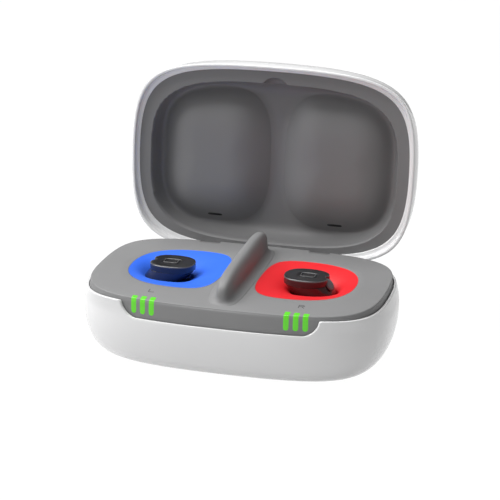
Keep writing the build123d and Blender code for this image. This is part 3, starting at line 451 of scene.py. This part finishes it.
def rayPoints(angles, x, y, centre):
    # where rays from the centre cross a closed outline given as many points
    x, y = np.append(x, x[0]), np.append(y, y[0])
    steps = np.linspace(0, len(x) - 1, 8 * len(x))
    x, y = np.interp(steps, np.arange(len(x)), x), np.interp(steps, np.arange(len(y)), y)
    bearing = np.unwrap(np.arctan2(y - centre[1], x - centre[0]))
    reach = np.hypot(x - centre[0], y - centre[1])
    order = np.argsort(np.mod(bearing, 2 * math.pi))
    known = np.mod(bearing, 2 * math.pi)[order]
    found = np.interp(np.mod(angles, 2 * math.pi), known, reach[order], period=2 * math.pi)
    return centre[0] + found * np.cos(angles), centre[1] + found * np.sin(angles)


def trayRows():
    # the tray's outer rows as height, half sizes and power: skirt, leaning wall and rounded shoulder
    rows = []
    for drop in deckLook["skirtDrops"]:
        level = drop * shellLook["linearShare"] / case["girthAt"]
        halfX, halfY, power, tuck, fall = caseProfile(np.array(level))
        tuck = tuck + deckLook["inset"]
        rows.append((case["rimHeight"] - fall, halfX - tuck, halfY - tuck, power))
    steps = [(deckLook["draftRise"], deckLook["draftInset"])]
    rounding = deckLook["shoulderRound"]
    straight = deckLook["rise"] - rounding
    for angle in np.linspace(0, math.pi / 2, deckLook["shoulderRows"]):
        drawn = deckLook["shoulderInset"] + rounding * (1 - math.cos(angle))
        steps.append((straight + rounding * math.sin(angle), drawn))
    for rise, inset in steps:
        halfX, halfY = case["rimLength"] / 2 - inset, case["rimDepth"] / 2 - inset
        rows.append((case["rimHeight"] + rise, halfX, halfY, case["rimPower"]))
    return rows


def deckTray():
    # each half runs from the skirt over the shoulder and in to its cup's hole; both meet on the middle line
    centre = (deckLook["cupCentre"], 0.0)
    rows = trayRows()
    height, halfX, halfY, power = rows[-1]
    turns = np.linspace(3, 5, 801)
    ringX, ringY = ovalAt(turns, halfX, halfY, power)
    bearing = np.arctan2(ringY - centre[1], ringX - centre[0])
    columns = np.interp(np.linspace(0, 1, deckLook["columns"]), np.linspace(0, 1, len(turns)), bearing)
    turn = np.interp(columns, bearing, turns)
    grid = []
    for rowHeight, rowX, rowY, rowPower in rows:
        x, y = ovalAt(turn, rowX, rowY, rowPower)
        grid.append(np.stack([x, y, np.full(x.shape, rowHeight)], -1))
    outerX, outerY = grid[-1][:, 0], grid[-1][:, 1]
    holes = holeRows(columns)
    for share in (0.25, 0.5, 0.75):
        x = outerX + (holes[0][:, 0] - outerX) * share
        y = outerY + (holes[0][:, 1] - outerY) * share
        grid.append(np.stack([x, y, np.full(x.shape, deckHeight)], -1))
    grid += holes
    ends = (bearing[-1], bearing[0] + 2 * math.pi)
    inner = np.linspace(ends[0], ends[1], deckLook["middleColumns"])
    lineY = centre[1] + np.tan(inner - math.pi) * -centre[0]
    lineY[0], lineY[-1] = ringY[-1], ringY[0]
    holes = holeRows(inner)
    middle = []
    for share in (0.0, 0.33, 0.66):
        x = holes[0][:, 0] * share
        y = lineY + (holes[0][:, 1] - lineY) * share
        middle.append(np.stack([x, y, np.full(x.shape, deckHeight)], -1))
    middle += holes
    points, faces, count = [], [], 0
    for side in (1, -1):
        for part in (np.stack(grid), np.stack(middle)):
            cells = gridFaces(*part.shape[:2], False)
            points.append(part.reshape(-1, 3) * [side, 1, 1])
            faces.append((cells if side > 0 else cells[:, ::-1]) + count)
            count += len(points[-1])
    return outward(buildMesh("deckTray", crowned(np.concatenate(points)), np.concatenate(faces)), 0.01)


def holeRows(angles):
    # the rounded edge of a cup hole and a short wall below it
    rounding = deckLook["edgeRound"]
    rows = []
    for bend in np.linspace(0, math.pi / 2, 4):
        x, y = cupOutline(angles, rounding * (1 - math.sin(bend)))
        rows.append(np.stack([x, y, np.full(x.shape, deckHeight - rounding * (1 - math.cos(bend)))], -1))
    x, y = cupOutline(angles, 0.0)
    rows.append(np.stack([x, y, np.full(x.shape, deckHeight - deckLook["holeWall"])], -1))
    return rows


finLook = dict(
    length=52.6, width=5.7, rise=7.4, centreY=-0.4, planPower=4.0, lengthPower=4.3, widthPower=2.6, flare=2.6,
    flarePower=2.0, footRise=2.0, fallEase=4.0, slope=0.033, sunk=0.5,
)


def deckFin():
    # ovals that shorten, narrow and tip up towards the crest, with a foot that runs out level into the deck
    shares = np.concatenate([
        [0.0], np.linspace(0, 0.27, 22) ** 1.3 * 0.27**-0.3, np.linspace(0.3, 0.9, 20),
        1 - np.geomspace(0.08, 0.0003, 16),
    ])
    turn = np.linspace(0, 4, 240, endpoint=False)
    rows = []
    for share in shares:
        rise = finLook["rise"] * share
        flare = drawIn(max(0.0, 1 - rise / finLook["footRise"]), finLook["flare"], finLook["flarePower"])
        halfLength = finLook["length"] / 2 - drawIn(share, finLook["length"] / 2, finLook["lengthPower"])
        halfWidth = finLook["width"] / 2 - drawIn(share, finLook["width"] / 2, finLook["widthPower"]) + flare
        x, y = ovalAt(turn, halfWidth, halfLength + flare / 2, finLook["planPower"])
        fall = crownFall(y + finLook["centreY"]) * (1 - smooth(rise / finLook["fallEase"]))
        z = deckHeight + rise + share * finLook["slope"] * y - fall - (0.0 if rows else finLook["sunk"])
        rows.append(np.stack([x, y + finLook["centreY"], z], -1))
    return outward(gridPiece("deckFin", np.stack(rows), capLow=True, capHigh=True))



markLook = dict(leftX=-22.2, rightX=23.2, y=-22.7, halfX=0.8, halfY=0.95, stroke=0.24, proud=0.03, sunk=0.1)
markStrokes = dict(
    left=[((-1, 1), (-1, -1)), ((-1, -1), (1, -1))],
    right=[
        ((-1, -1), (-1, 1)), ((-1, 1), (0.5, 1)), ((0.5, 1), (1, 0.55)), ((1, 0.55), (0.5, 0.1)),
        ((0.5, 0.1), (-1, 0.1)), ((-0.1, 0.1), (1, -1)),
    ],
)


def sideMark(word):
    # the plain letter for the left or the right ear, as thin strokes just proud of the deck
    middle = [markLook[f"{word}X"], markLook["y"]]
    points, faces = [], []
    for start, stop in markStrokes[word]:
        ends = np.array([start, stop]) * [markLook["halfX"], markLook["halfY"]] + middle
        along = (ends[1] - ends[0]) / np.hypot(*(ends[1] - ends[0]))
        across = np.array([-along[1], along[0]]) * markLook["stroke"] / 2
        reach = along * markLook["stroke"] / 2
        near, far = ends[0] - reach, ends[1] + reach
        corners = np.array([near - across, far - across, far + across, near + across])
        top = deckHeight - crownFall(corners[:, 1])
        base = len(points)
        points += [(x, y, z - markLook["sunk"]) for (x, y), z in zip(corners, top)]
        points += [(x, y, z + markLook["proud"]) for (x, y), z in zip(corners, top)]
        faces += [[base + k, base + (k + 1) % 4, base + 4 + (k + 1) % 4, base + 4 + k] for k in range(4)]
        faces += [[base + 3, base + 2, base + 1, base], [base + 4, base + 5, base + 6, base + 7]]
    mark = buildMesh(f"{word}Mark", points, np.array(faces))
    mark.data.shade_flat()
    return mark


dress(cutAway(deckTray(), hingeBlocks("slot")), "base", paint["deck"], "deck_grey", "deck_tray")
dress(deckFin(), "base", paint["deck"], "deck_grey")
dress(sideMark("left"), "base", paint["mark"], "deck_grey")
dress(sideMark("right"), "base", paint["mark"], "deck_grey")
print("deck made")


# Cups

cupLook = dict(
    mouthX=22.2, leftMouthX=23.2, mouthHalfX=7.3, mouthHalfY=6.35, mouthPower=2.4, mouthRise=-1.2,
    floorRise=-10.0, floorHalfX=4.5, floorHalfY=4.2, drawPower=1.5, gap=0.02, steady=0.4, steep=0.6,
    columns=240, dishRows=36, seatRows=16,
)


def cupBowl(side):
    # a dish that falls from the deck's edge to the seat's mouth, turns over it and runs down to the seat's floor
    angles = np.linspace(0, 2 * math.pi, cupLook["columns"], endpoint=False)
    outX, outY = cupOutline(angles, -cupLook["gap"])
    turn = np.linspace(0, 4, 960, endpoint=False)
    mouthX, mouthY = ovalAt(turn, cupLook["mouthHalfX"], cupLook["mouthHalfY"], cupLook["mouthPower"])
    mouthX, mouthY = rayPoints(angles, mouthX, mouthY, (0.0, 0.0))
    depth = deckLook["rise"] - cupLook["mouthRise"]
    middleX = cupLook["mouthX"] if side > 0 else cupLook["leftMouthX"]
    rows = []
    for share in np.linspace(0, 1, cupLook["dishRows"]):
        x = outX + (mouthX + middleX - outX) * share
        y = outY + (mouthY - outY) * share
        fall = depth * (cupLook["steady"] * share + cupLook["steep"] * share**3)
        rows.append(np.stack([x, y, np.full(x.shape, deckHeight - cupLook["gap"] - fall)], -1))
    for share in np.linspace(0, 1, cupLook["seatRows"])[1:]:
        narrowX, narrowY = (
            1 - drawIn(share, 1 - cupLook[f"floorHalf{axis}"] / cupLook[f"mouthHalf{axis}"], cupLook["drawPower"])
            for axis in "XY"
        )
        x = mouthX * narrowX + middleX + (cupLook["mouthX"] - middleX) * share
        rise = cupLook["mouthRise"] + (cupLook["floorRise"] - cupLook["mouthRise"]) * share
        rows.append(np.stack([x, mouthY * narrowY, np.full(x.shape, case["rimHeight"] + rise)], -1))
    grid = crowned(np.stack(rows))
    grid[..., 0] *= side
    name = "rightCupBowl" if side > 0 else "leftCupBowl"
    return gridPiece(name, grid if side < 0 else grid[:, ::-1], capHigh=True)


for side, word, colour in ((1, "right", "red"), (-1, "left", "blue")):
    dress(cupBowl(side), "base", paint[colour], f"cup_{colour}", f"{word}_cup")
print("cups made")


# Hearing aids

aidLook = dict(
    faceX=20.0, faceY=-0.4, faceHalfX=6.95, faceHalfY=6.25, facePower=2.4, faceTop=4.1, faceCrown=0.02, bevel=0.5,
    seam=1.9, seamInset=0.5, seamStep=0.1, biteAngle=0.1, biteWidth=0.2, biteDepth=1.4, seamBite=0.6, biteFade=1.4,
    waistRise=-1.0, waistX=22.0, waistHalfX=6.85, waistHalfY=6.1, tipRise=-9.2, tipX=22.2, tipHalfX=3.5,
    tipHalfY=3.2, tipPower=1.5, bodyInset=0.12, bodyGap=0.05, leftShift=2.1, shiftLow=-6.0, shiftSpan=5.0,
)
buttonLook = dict(
    x=20.4, y=-0.7, halfX=2.0, halfY=1.5, power=8.0, width=0.3, proud=0.14, sunk=0.1, taper=0.03, wellDepth=0.9,
    gap=0.12, rows=((0.0, -0.43), (0.0, -0.08), (-0.1, 0.0), (-0.4, 0.03)),
)
# rows of the painted bevel highlight, laid over the faceplate's bevel
bevelHighlightRows = ((-0.5, 0.1), (0.02, -0.05), (0.03, 0.1), (-0.1, 0.34), (-0.2, 0.41))  # growth and rise over the bevel
aidTurn = np.linspace(0, 2 * math.pi, 200, endpoint=False)


def aidRing(halfX, halfY, power, centre, bite=0.0, grow=0.0):
    # an outline about the button's centre, with the notch at the outer end bitten in
    turn = np.linspace(0, 4, 400, endpoint=False)
    x, y = ovalAt(turn, halfX + grow, halfY + grow, power)
    middle = (buttonLook["x"], buttonLook["y"])
    x, y = rayPoints(aidTurn, x + centre[0], y + centre[1], middle)
    around = np.mod(aidTurn + math.pi, 2 * math.pi) - math.pi - aidLook["biteAngle"]
    notch = bite * aidLook["biteDepth"] * np.exp(-((around / aidLook["biteWidth"]) ** 2))
    reach = np.hypot(x - middle[0], y - middle[1])
    scale = 1 - notch / reach
    return middle[0] + (x - middle[0]) * scale, middle[1] + (y - middle[1]) * scale


def aidRow(x, y, rise, side):
    # a row of the right aid, or of the left one mirrored; the left one stands a little further out above its tip
    if side < 0:
        x = -(x + aidLook["leftShift"] * float(smooth((rise - aidLook["shiftLow"]) / aidLook["shiftSpan"])))
    return np.stack([x, y, np.full(x.shape, case["rimHeight"] + rise)], -1)


def aidPiece(name, rows, side, **caps):
    # a closed surface through rows of outlines and their rises
    return outward(gridPiece(name, np.stack([aidRow(x, y, rise, side) for (x, y), rise in rows]), **caps))


def faceRing(bite, grow):
    # the faceplate's outline
    look = aidLook
    middle = (look["faceX"], look["faceY"])
    return aidRing(look["faceHalfX"], look["faceHalfY"], look["facePower"], middle, bite, grow)


def buttonRing(grow=0.0):
    # the outline of the well that the button stands in
    look = buttonLook
    return aidRing(look["halfX"], look["halfY"], look["power"], (look["x"], look["y"]), 0.0, grow)


def aidFace(word, side):
    # side band, bevel and flat top down to the well that the button stands in
    look, seam, bevel = aidLook, aidLook["seam"], aidLook["bevel"]
    top = look["faceTop"]
    rows = [
        (faceRing(look["seamBite"], -look["seamInset"]), seam - look["seamStep"]),
        (faceRing(look["seamBite"], -look["bodyGap"]), seam),
    ]
    rows += [(faceRing(1.0, 0.0), rise) for rise in np.linspace(seam + 1.5 * look["seamStep"], top - bevel, 5)]
    for angle in np.linspace(0, math.pi / 2, 7)[1:]:
        rows.append((faceRing(1.0, -bevel * (1 - math.cos(angle))), top - bevel + bevel * math.sin(angle)))
    outer, inner = buttonRing(buttonLook["width"]), buttonRing()
    last = rows[-1][0]
    for share in (0.35, 0.7):
        between = tuple(a + (b - a) * share for a, b in zip(last, outer))
        rows.append((between, top + look["faceCrown"] * share))
    rows += [(outer, top), (outer, top - buttonLook["sunk"]), (inner, top - buttonLook["sunk"])]
    rows.append((inner, top - buttonLook["wellDepth"]))
    return aidPiece(f"{word}Face", rows, side, capLow=True, capHigh=True)


def bevelHighlightRing(word, side):
    # the lighter glossy line along the bevel, a painted highlight: a closed ring, its first row repeated at the
    # end
    low = aidLook["faceTop"] - aidLook["bevel"]
    rows = [(faceRing(1.0, grow), low + rise) for grow, rise in bevelHighlightRows + bevelHighlightRows[:1]]
    return aidPiece(f"{word}BevelHighlight", rows, side)


def buttonFrame(word, side):
    # the raised line round the button, a closed ring as well; its lighter glossy grey is partly painted highlight
    # along the line
    look = buttonLook
    rows = [
        (buttonRing(grow), aidLook["faceTop"] + rise)
        for grow, rise in (
            (look["width"], -look["sunk"]), (look["width"] - look["taper"], look["proud"]),
            (look["taper"], look["proud"]), (0.0, -look["sunk"]), (look["width"], -look["sunk"]),
        )
    ]
    return aidPiece(f"{word}Frame", rows, side)


def aidButton(word, side):
    # the button's cap, a squared oval with a small rounded edge
    look = buttonLook
    rows = [(buttonRing(grow - look["gap"]), aidLook["faceTop"] + rise) for grow, rise in look["rows"]]
    return aidPiece(f"{word}Button", rows, side, capLow=True, capHigh=True)


def aidBody(word, side):
    # from under the faceplate out to the waist, then in to the canal tip
    look = aidLook
    faceX, faceY = look["faceHalfX"] - look["bodyInset"], look["faceHalfY"] - look["bodyInset"]
    high = look["seam"] + look["bodyGap"]
    rows = []
    for share in np.linspace(0, 1, 12):
        rise = high + (look["waistRise"] - high) * share
        centre = (look["faceX"] + (look["waistX"] - look["faceX"]) * share, look["faceY"] * (1 - share))
        halfX = faceX + (look["waistHalfX"] - faceX) * share
        halfY = faceY + (look["waistHalfY"] - faceY) * share
        bite = look["seamBite"] * (1 - float(smooth(share * look["biteFade"])))
        rows.append((aidRing(halfX, halfY, look["facePower"], centre, bite), rise))
    for share in np.linspace(0, 1, 18)[1:]:
        rise = look["waistRise"] + (look["tipRise"] - look["waistRise"]) * share
        centre = (look["waistX"] + (look["tipX"] - look["waistX"]) * share, 0.0)
        halfX = look["waistHalfX"] - drawIn(share, look["waistHalfX"] - look["tipHalfX"], look["tipPower"])
        halfY = look["waistHalfY"] - drawIn(share, look["waistHalfY"] - look["tipHalfY"], look["tipPower"])
        rows.append((aidRing(halfX, halfY, look["facePower"], centre), rise))
    return aidPiece(f"{word}Body", rows, side, capLow=True, capHigh=True)


lensLook = dict(
    place=(27.35, -1.7, 2.15), lean=38.0, face=-28.0, halfA=1.15, halfB=1.75, rim=0.28, rimProud=0.2,
    glassProud=0.28,
    rows=((1.0, -0.7), (1.0, -0.1), (0.92, 0.0), (0.55, 0.04), (0.1, 0.05)),
)


def lensDisc(name, grow, proud):
    # an oval disc that leans back against the outer end of the right aid
    lean, face = math.radians(lensLook["lean"]), math.radians(lensLook["face"])
    out = np.array([math.cos(lean) * math.cos(face), math.cos(lean) * math.sin(face), math.sin(lean)])
    across = np.array([-math.sin(face), math.cos(face), 0.0])
    upward = np.cross(out, across)
    place = np.array(lensLook["place"]) + [0, 0, case["rimHeight"]]
    turn = np.linspace(0, 2 * math.pi, 64, endpoint=False)
    rows = []
    for size, lift in lensLook["rows"]:
        a, b = (lensLook["halfA"] + grow) * size, (lensLook["halfB"] + grow) * size
        ring = np.outer(np.cos(turn) * a, across) + np.outer(np.sin(turn) * b, upward)
        rows.append(place + out * (proud + lift) + ring)
    return outward(gridPiece(name, np.stack(rows), capLow=True, capHigh=True))


for side, word, colour in ((1, "right", "aidRed"), (-1, "left", "aidBlue")):
    dress(aidFace(word, side), f"{word}_aid", paint["black"], "aid_black", f"{word}_aid_faceplate")
    # painted highlight: a lighter ring along the bevel
    dress(bevelHighlightRing(word, side), f"{word}_aid", paint["edge"], "aid_black")
    # the raised frame round the button, its lighter grey partly painted highlight
    dress(buttonFrame(word, side), f"{word}_aid", paint["edge"], "aid_black")
    dress(aidBody(word, side), f"{word}_aid", paint[colour], slotOf[f"{word}_aid_shell"], f"{word}_aid_shell")
    dress(aidButton(word, side), f"{word}_aid_button", paint["black"], "aid_black", f"{word}_aid_button")
dress(lensDisc("lensRim", lensLook["rim"], lensLook["rimProud"]), "right_aid", paint["edge"], "aid_black")
glass = lensDisc("lensGlass", 0.0, lensLook["glassProud"])
dress(glass, "right_aid", paint["lens"], "lens_grey", "right_aid_lens")
print("hearing aids made")


# Light bars

barLook = dict(
    middle=23.0, pitch=2.8, width=1.6, bottomDrop=3.6, backY=-27.2, proud=0.04, edgePower=8, rows=60, columns=13,
)


def wallLine(x):
    # the tray's front wall, shoulder and deck at one x, as points from the skirt up and back over the deck
    points = []
    dense = np.linspace(3, 4, 600)
    for height, halfX, halfY, power in trayRows():
        ringX, ringY = ovalAt(dense, halfX, halfY, power)
        points.append((np.interp(abs(x), ringX, ringY), height))
    back = np.linspace(points[-1][0], barLook["backY"], 6)[1:]
    points += [(y, deckHeight) for y in back]
    line = np.array(points)
    return crowned(np.stack([np.zeros(len(line)), line[:, 0], line[:, 1]], -1))[:, 1:]


def lightBar(name, centre):
    # a strip over the wall and the shoulder, round at its lower end, standing a hair proud of the tray
    rows = barLook["rows"]
    across = np.linspace(-1, 1, barLook["columns"])
    line = wallLine(centre)
    run = np.concatenate([[0], np.cumsum(np.hypot(*np.diff(line, axis=0).T))])
    start = np.interp(case["rimHeight"] - barLook["bottomDrop"], line[:, 1], run)
    stop = run[-1]
    half = barLook["width"] / 2
    grid = []
    for column in across:
        x = centre + column * half
        own = wallLine(x)
        ownRun = np.concatenate([[0], np.cumsum(np.hypot(*np.diff(own, axis=0).T))])
        first = start + half * (1 - math.sqrt(max(0.0, 1 - column**2)))
        at = first + (stop - first) * np.linspace(0, 1, rows)
        y, z = np.interp(at, ownRun, own[:, 0]), np.interp(at, ownRun, own[:, 1])
        slopeY, slopeZ = np.gradient(y), np.gradient(z)
        size = np.hypot(slopeY, slopeZ)
        lift = barLook["proud"] * (1 - abs(column) ** barLook["edgePower"]) / size
        grid.append(np.stack([np.full(rows, x), y - slopeZ * lift, z + slopeY * lift], -1))
    return gridPiece(name, np.stack(grid, 1), closed=False)


for side, word in ((1, "right"), (-1, "left")):
    for place in range(3):
        centre = side * (barLook["middle"] + barLook["pitch"] * (place - 1))
        bar = outward(lightBar(f"{word}Bar{place + 1}", centre))
        dress(bar, "base", paint["green"], "bar_green", f"{word}_light_bar_{place + 1}")
print("light bars made")


# Lid shell

lidLook = dict(
    gap=0.5, girthLength=92.9, girthDepth=63.4, girthPower=3.4, girthAt=4.0, topRise=10.5, draw=12.0, power=2.4,
    linearShare=0.3, lip=0.9, wall=2.3, ledgeShare=0.8, ledgeStep=0.06, deepRise=3.2,
    edgeRound=0.35, innerRows=24, outerRows=60, columns=640,
)


def lidSkin():
    # rows from inside the lip, over its rounded edge, and up the outside to the top
    turn = np.linspace(0, 4, lidLook["columns"], endpoint=False)
    rows = []

    def ring(level, inset):
        halfX, halfY, power, tuck, rise = bulge(level, lidLook, lidLook["linearShare"], lidLook["topRise"])
        x, y = ovalAt(turn, halfX - tuck - inset, halfY - tuck - inset, power)
        rows.append(np.stack([x, y, np.full(x.shape, case["rimHeight"] + lidLook["gap"] + rise)], -1))

    perRise = lidLook["linearShare"] / lidLook["girthAt"]
    rounding, lip = lidLook["edgeRound"], lidLook["lip"]
    deep = (lidLook["deepRise"] - lidLook["gap"]) * perRise
    for share in np.linspace(1, 0, lidLook["innerRows"], endpoint=False):
        ledge = smooth((share - lidLook["ledgeShare"]) / lidLook["ledgeStep"])
        ring(rounding * perRise + (deep - rounding * perRise) * share, lip + (lidLook["wall"] - lip) * ledge)
    for angle in np.linspace(0, math.pi / 2, 5):
        ring(rounding * (1 - math.sin(angle)) * perRise, lip - rounding * (1 - math.cos(angle)))
    for angle in np.linspace(0, math.pi / 2, 6):
        ring(rounding * (1 - math.cos(angle)) * perRise, rounding * (1 - math.sin(angle)))
    for level in np.linspace(rounding * perRise, 1, lidLook["outerRows"])[1:]:
        ring(level, 0.0)
    return outward(gridPiece("lidSkin", swungOpen(np.stack(rows)), capHigh=True))


dress(lidSkin(), "lid", paint["white"], "shell_white", "lid_shell")
print("lid shell made")


# Lid lining

liningLook = dict(
    flangeRise=2.6, inset=2.3, basinX=40.2, basinY=26.1, basinMiddle=0.9, basinPower=3.4, floorRise=11.4,
    draw=5.0, drawPower=2.4, flankScale=0.92, bayHalf=4.8, bayDeep=5.76, bayReach=27.3, bayPower=2.2,
    bayDraw=3.0, bayDepth=5.0, bayBlend=1.2, pillowX=20.6, pillowY=0.3, pillowHalfX=18.2, pillowHalfY=22.5,
    pillowPower=3.2, pillowLow=5.7, pillowRoot=1.3, pillowLift=0.8, pillowDraw=13.5, pillowDrawPower=2.2,
    skirt=4, blend=3.2, outlineX=46.66, outlineY=31.75, outlinePower=3.43, columns=420, rows=290,
)


def insetOf(x, y, halfX, halfY, power):
    # how far a point lies inside an oval, measured across its flanks
    reach = (np.abs(x / halfX) ** power + np.abs(y / halfY) ** power) ** (1 / power)
    reach = np.maximum(reach, 1e-6)
    size = np.hypot(x, y)
    return (1 / reach - 1) * size * liningLook["flankScale"]


def softMin(a, b, width):
    # the lower of two heights, rounded over a width where they cross
    mix = np.clip(0.5 + 0.5 * (b - a) / width, 0, 1)
    return b + (a - b) * mix - width * mix * (1 - mix)


def liningRise(x, y):
    # rise of the lining over the base's rim when the lid is shut: a flat flange, a basin let into it with a small
    # bay at the front, and two pillows that bulge back towards the deck
    look = liningLook
    depth = look["floorRise"] - look["flangeRise"]
    inside = insetOf(x, y - look["basinMiddle"], look["basinX"], look["basinY"], look["basinPower"])
    share = np.clip(inside / look["draw"], 0, 1)
    basin = depth * (1 - (1 - share) ** look["drawPower"]) ** (1 / look["drawPower"])
    bay = insetOf(x, y + look["bayReach"] - look["bayDeep"], look["bayHalf"], look["bayDeep"], look["bayPower"])
    bayShare = np.clip(bay / look["bayDraw"], 0, 1)
    basin = -softMin(-basin, -look["bayDepth"] * (1 - (1 - bayShare) ** 2) ** 0.5, look["bayBlend"])
    rise, high = look["flangeRise"] + np.maximum(basin, 0), look["floorRise"] + look["pillowLift"]
    for side in (-1, 1):
        into = insetOf(
            x - side * look["pillowX"], y - look["pillowY"],
            look["pillowHalfX"], look["pillowHalfY"], look["pillowPower"],
        )
        within = np.clip(into / look["pillowDraw"], 0, 1)
        crown = (1 - (1 - within) ** look["pillowDrawPower"]) ** (1 / look["pillowRoot"])
        pillow = high - (high - look["pillowLow"]) * crown + np.clip(-into, 0, look["skirt"])
        rise = softMin(rise, np.maximum(pillow, look["flangeRise"]), look["blend"])
    return rise


def lidLining():
    # a square grid drawn out to the flange's oval outline, each point lifted to the lining's rise
    look = liningLook
    a, b = np.meshgrid(np.linspace(-1, 1, look["columns"]), np.linspace(-1, 1, look["rows"]))
    reach = np.maximum(np.abs(a), np.abs(b))
    power = look["outlinePower"]
    spread = (np.abs(a) ** power + np.abs(b) ** power) ** (1 / power)
    factor = np.where(spread > 0, reach / np.maximum(spread, 1e-9), 1.0)
    x, y = a * factor * (look["outlineX"] - look["inset"]), b * factor * (look["outlineY"] - look["inset"])
    points = swungOpen(np.stack([x, y, case["rimHeight"] + liningRise(x, y)], -1))
    return outward(gridPiece("lidLining", points, closed=False), 0.0005)


dress(lidLining(), "lid", paint["lining"], "liner_grey", "lid_liner")

slitLook = dict(x=19.95, y=20.6, halfLength=2.4, halfHeight=0.42, power=3.5, proud=0.03, sunk=0.5)


def pillowSlit(side):
    # a dark lozenge that lies in the lining where the pillow's rear flank is slit, its near-black colour the
    # painted shade inside the slit
    turn = np.linspace(0, 4, 48, endpoint=False)
    alongX, alongY = ovalAt(turn, slitLook["halfLength"], slitLook["halfHeight"], slitLook["power"])
    x, y = side * slitLook["x"] + alongX, slitLook["y"] + alongY
    z = case["rimHeight"] + liningRise(x, y)
    rows = swungOpen(np.stack([np.stack([x, y, z + lift], -1) for lift in (slitLook["sunk"], -slitLook["proud"])]))
    return outward(gridPiece("leftSlit" if side < 0 else "rightSlit", rows, capLow=True, capHigh=True))


# the slits are painted shade: dark patches in the lining, not openings
for side in (-1, 1):
    dress(pillowSlit(side), "lid", paint["slit"], "liner_grey")
print("lid lining made")


# Camera, floor and light

view = dict(
    place=(120.85, -505.8, 196.19), azimuth=13.229, elevation=17.492, roll=1.76, lens=129.18, sensor=36.0,
)


def cameraTurn():
    # back, right and up from the azimuth and elevation, then rolled about the line of sight
    azimuth, elevation, roll = (math.radians(view[key]) for key in ("azimuth", "elevation", "roll"))
    level = math.cos(elevation)
    back = Vector((math.sin(azimuth) * level, -math.cos(azimuth) * level, math.sin(elevation)))
    right = Vector((math.cos(azimuth), math.sin(azimuth), 0))
    up = back.cross(right)
    rolledRight = right * math.cos(roll) + up * math.sin(roll)
    rolledUp = up * math.cos(roll) - right * math.sin(roll)
    return Matrix((rolledRight, rolledUp, back)).transposed()


cameraData = bpy.data.cameras.new("camera")
cameraData.sensor_width = view["sensor"]
cameraData.lens = view["lens"]
cameraData.clip_start = 0.01
camera = bpy.data.objects.new("camera", cameraData)
camera.matrix_world = Matrix.Translation(Vector(view["place"]) * mm) @ cameraTurn().to_4x4()
bpy.context.scene.collection.objects.link(camera)
bpy.context.scene.camera = camera

stageLook = dict(floorSize=3.0, floorColor=(0.62, 0.62, 0.62, 1), white=0.94, glow=1.06, worldLight=0.2)


def whiteFloor():
    # a pale floor that the camera, gloss and glass see as nearly white, with the object's shadow kept faint
    material = bpy.data.materials.new("floorWhite")
    material.use_nodes = True
    nodes, links = material.node_tree.nodes, material.node_tree.links
    shader = nodes["Principled BSDF"]
    shader.inputs["Base Color"].default_value = stageLook["floorColor"]
    shader.inputs["Roughness"].default_value = 0.9
    glow = nodes.new("ShaderNodeEmission")
    glow.inputs["Strength"].default_value = stageLook["glow"]
    path = nodes.new("ShaderNodeLightPath")
    seen, either, share = (nodes.new("ShaderNodeMath") for step in range(3))
    seen.operation = either.operation = "MAXIMUM"
    share.operation = "MULTIPLY"
    share.inputs[1].default_value = stageLook["white"]
    mix = nodes.new("ShaderNodeMixShader")
    links.new(path.outputs["Is Camera Ray"], seen.inputs[0])
    links.new(path.outputs["Is Glossy Ray"], seen.inputs[1])
    links.new(seen.outputs[0], either.inputs[0])
    links.new(path.outputs["Is Transmission Ray"], either.inputs[1])
    links.new(either.outputs[0], share.inputs[0])
    links.new(share.outputs[0], mix.inputs["Fac"])
    links.new(shader.outputs["BSDF"], mix.inputs[1])
    links.new(glow.outputs["Emission"], mix.inputs[2])
    links.new(mix.outputs["Shader"], nodes["Material Output"].inputs["Surface"])
    return material


half = stageLook["floorSize"] / 2 / mm
floorPoints = np.array([[-half, -half, 0], [half, -half, 0], [half, half, 0], [-half, half, 0]], float)
floor = buildMesh("floor", floorPoints, np.array([[0, 1, 2, 3]]))
floor.data.materials.append(whiteFloor())

world = bpy.data.worlds.new("world")
bpy.context.scene.world = world
world.use_nodes = True
worldNodes, worldLinks = world.node_tree.nodes, world.node_tree.links
background = worldNodes["Background"]
background.inputs["Color"].default_value = (1, 1, 1, 1)
worldPath = worldNodes.new("ShaderNodeLightPath")
strength = worldNodes.new("ShaderNodeMapRange")
strength.inputs["To Min"].default_value = stageLook["worldLight"]
strength.inputs["To Max"].default_value = 1.0
worldLinks.new(worldPath.outputs["Is Camera Ray"], strength.inputs["Value"])
worldLinks.new(strength.outputs["Result"], background.inputs["Strength"])

lamps = [
    dict(name="leftSoft", place=(-0.7, -0.2, 0.5), aim=(0, 0, 0.03), size=0.5, power=2.7),
    dict(name="frontSoft", place=(-0.45, -0.8, 0.5), aim=(0, 0, 0.03), size=0.5, power=0.9),
    dict(name="topSoft", place=(-0.22, -0.03, 0.6), aim=(0, 0, 0.03), size=0.5, power=4.5),
]


def softLamp(look):
    # a square area lamp turned towards its aim, both in metres
    data = bpy.data.lights.new(look["name"], "AREA")
    data.shape = "SQUARE"
    data.size = look["size"]
    data.energy = look["power"]
    lamp = bpy.data.objects.new(look["name"], data)
    place = Vector(look["place"])
    turned = (place - Vector(look["aim"])).to_track_quat("Z", "Y")
    lamp.matrix_world = Matrix.Translation(place) @ turned.to_matrix().to_4x4()
    bpy.context.scene.collection.objects.link(lamp)


for look in lamps:
    softLamp(look)

bpy.context.scene.view_settings.view_transform = "Standard"
bpy.context.view_layer.update()
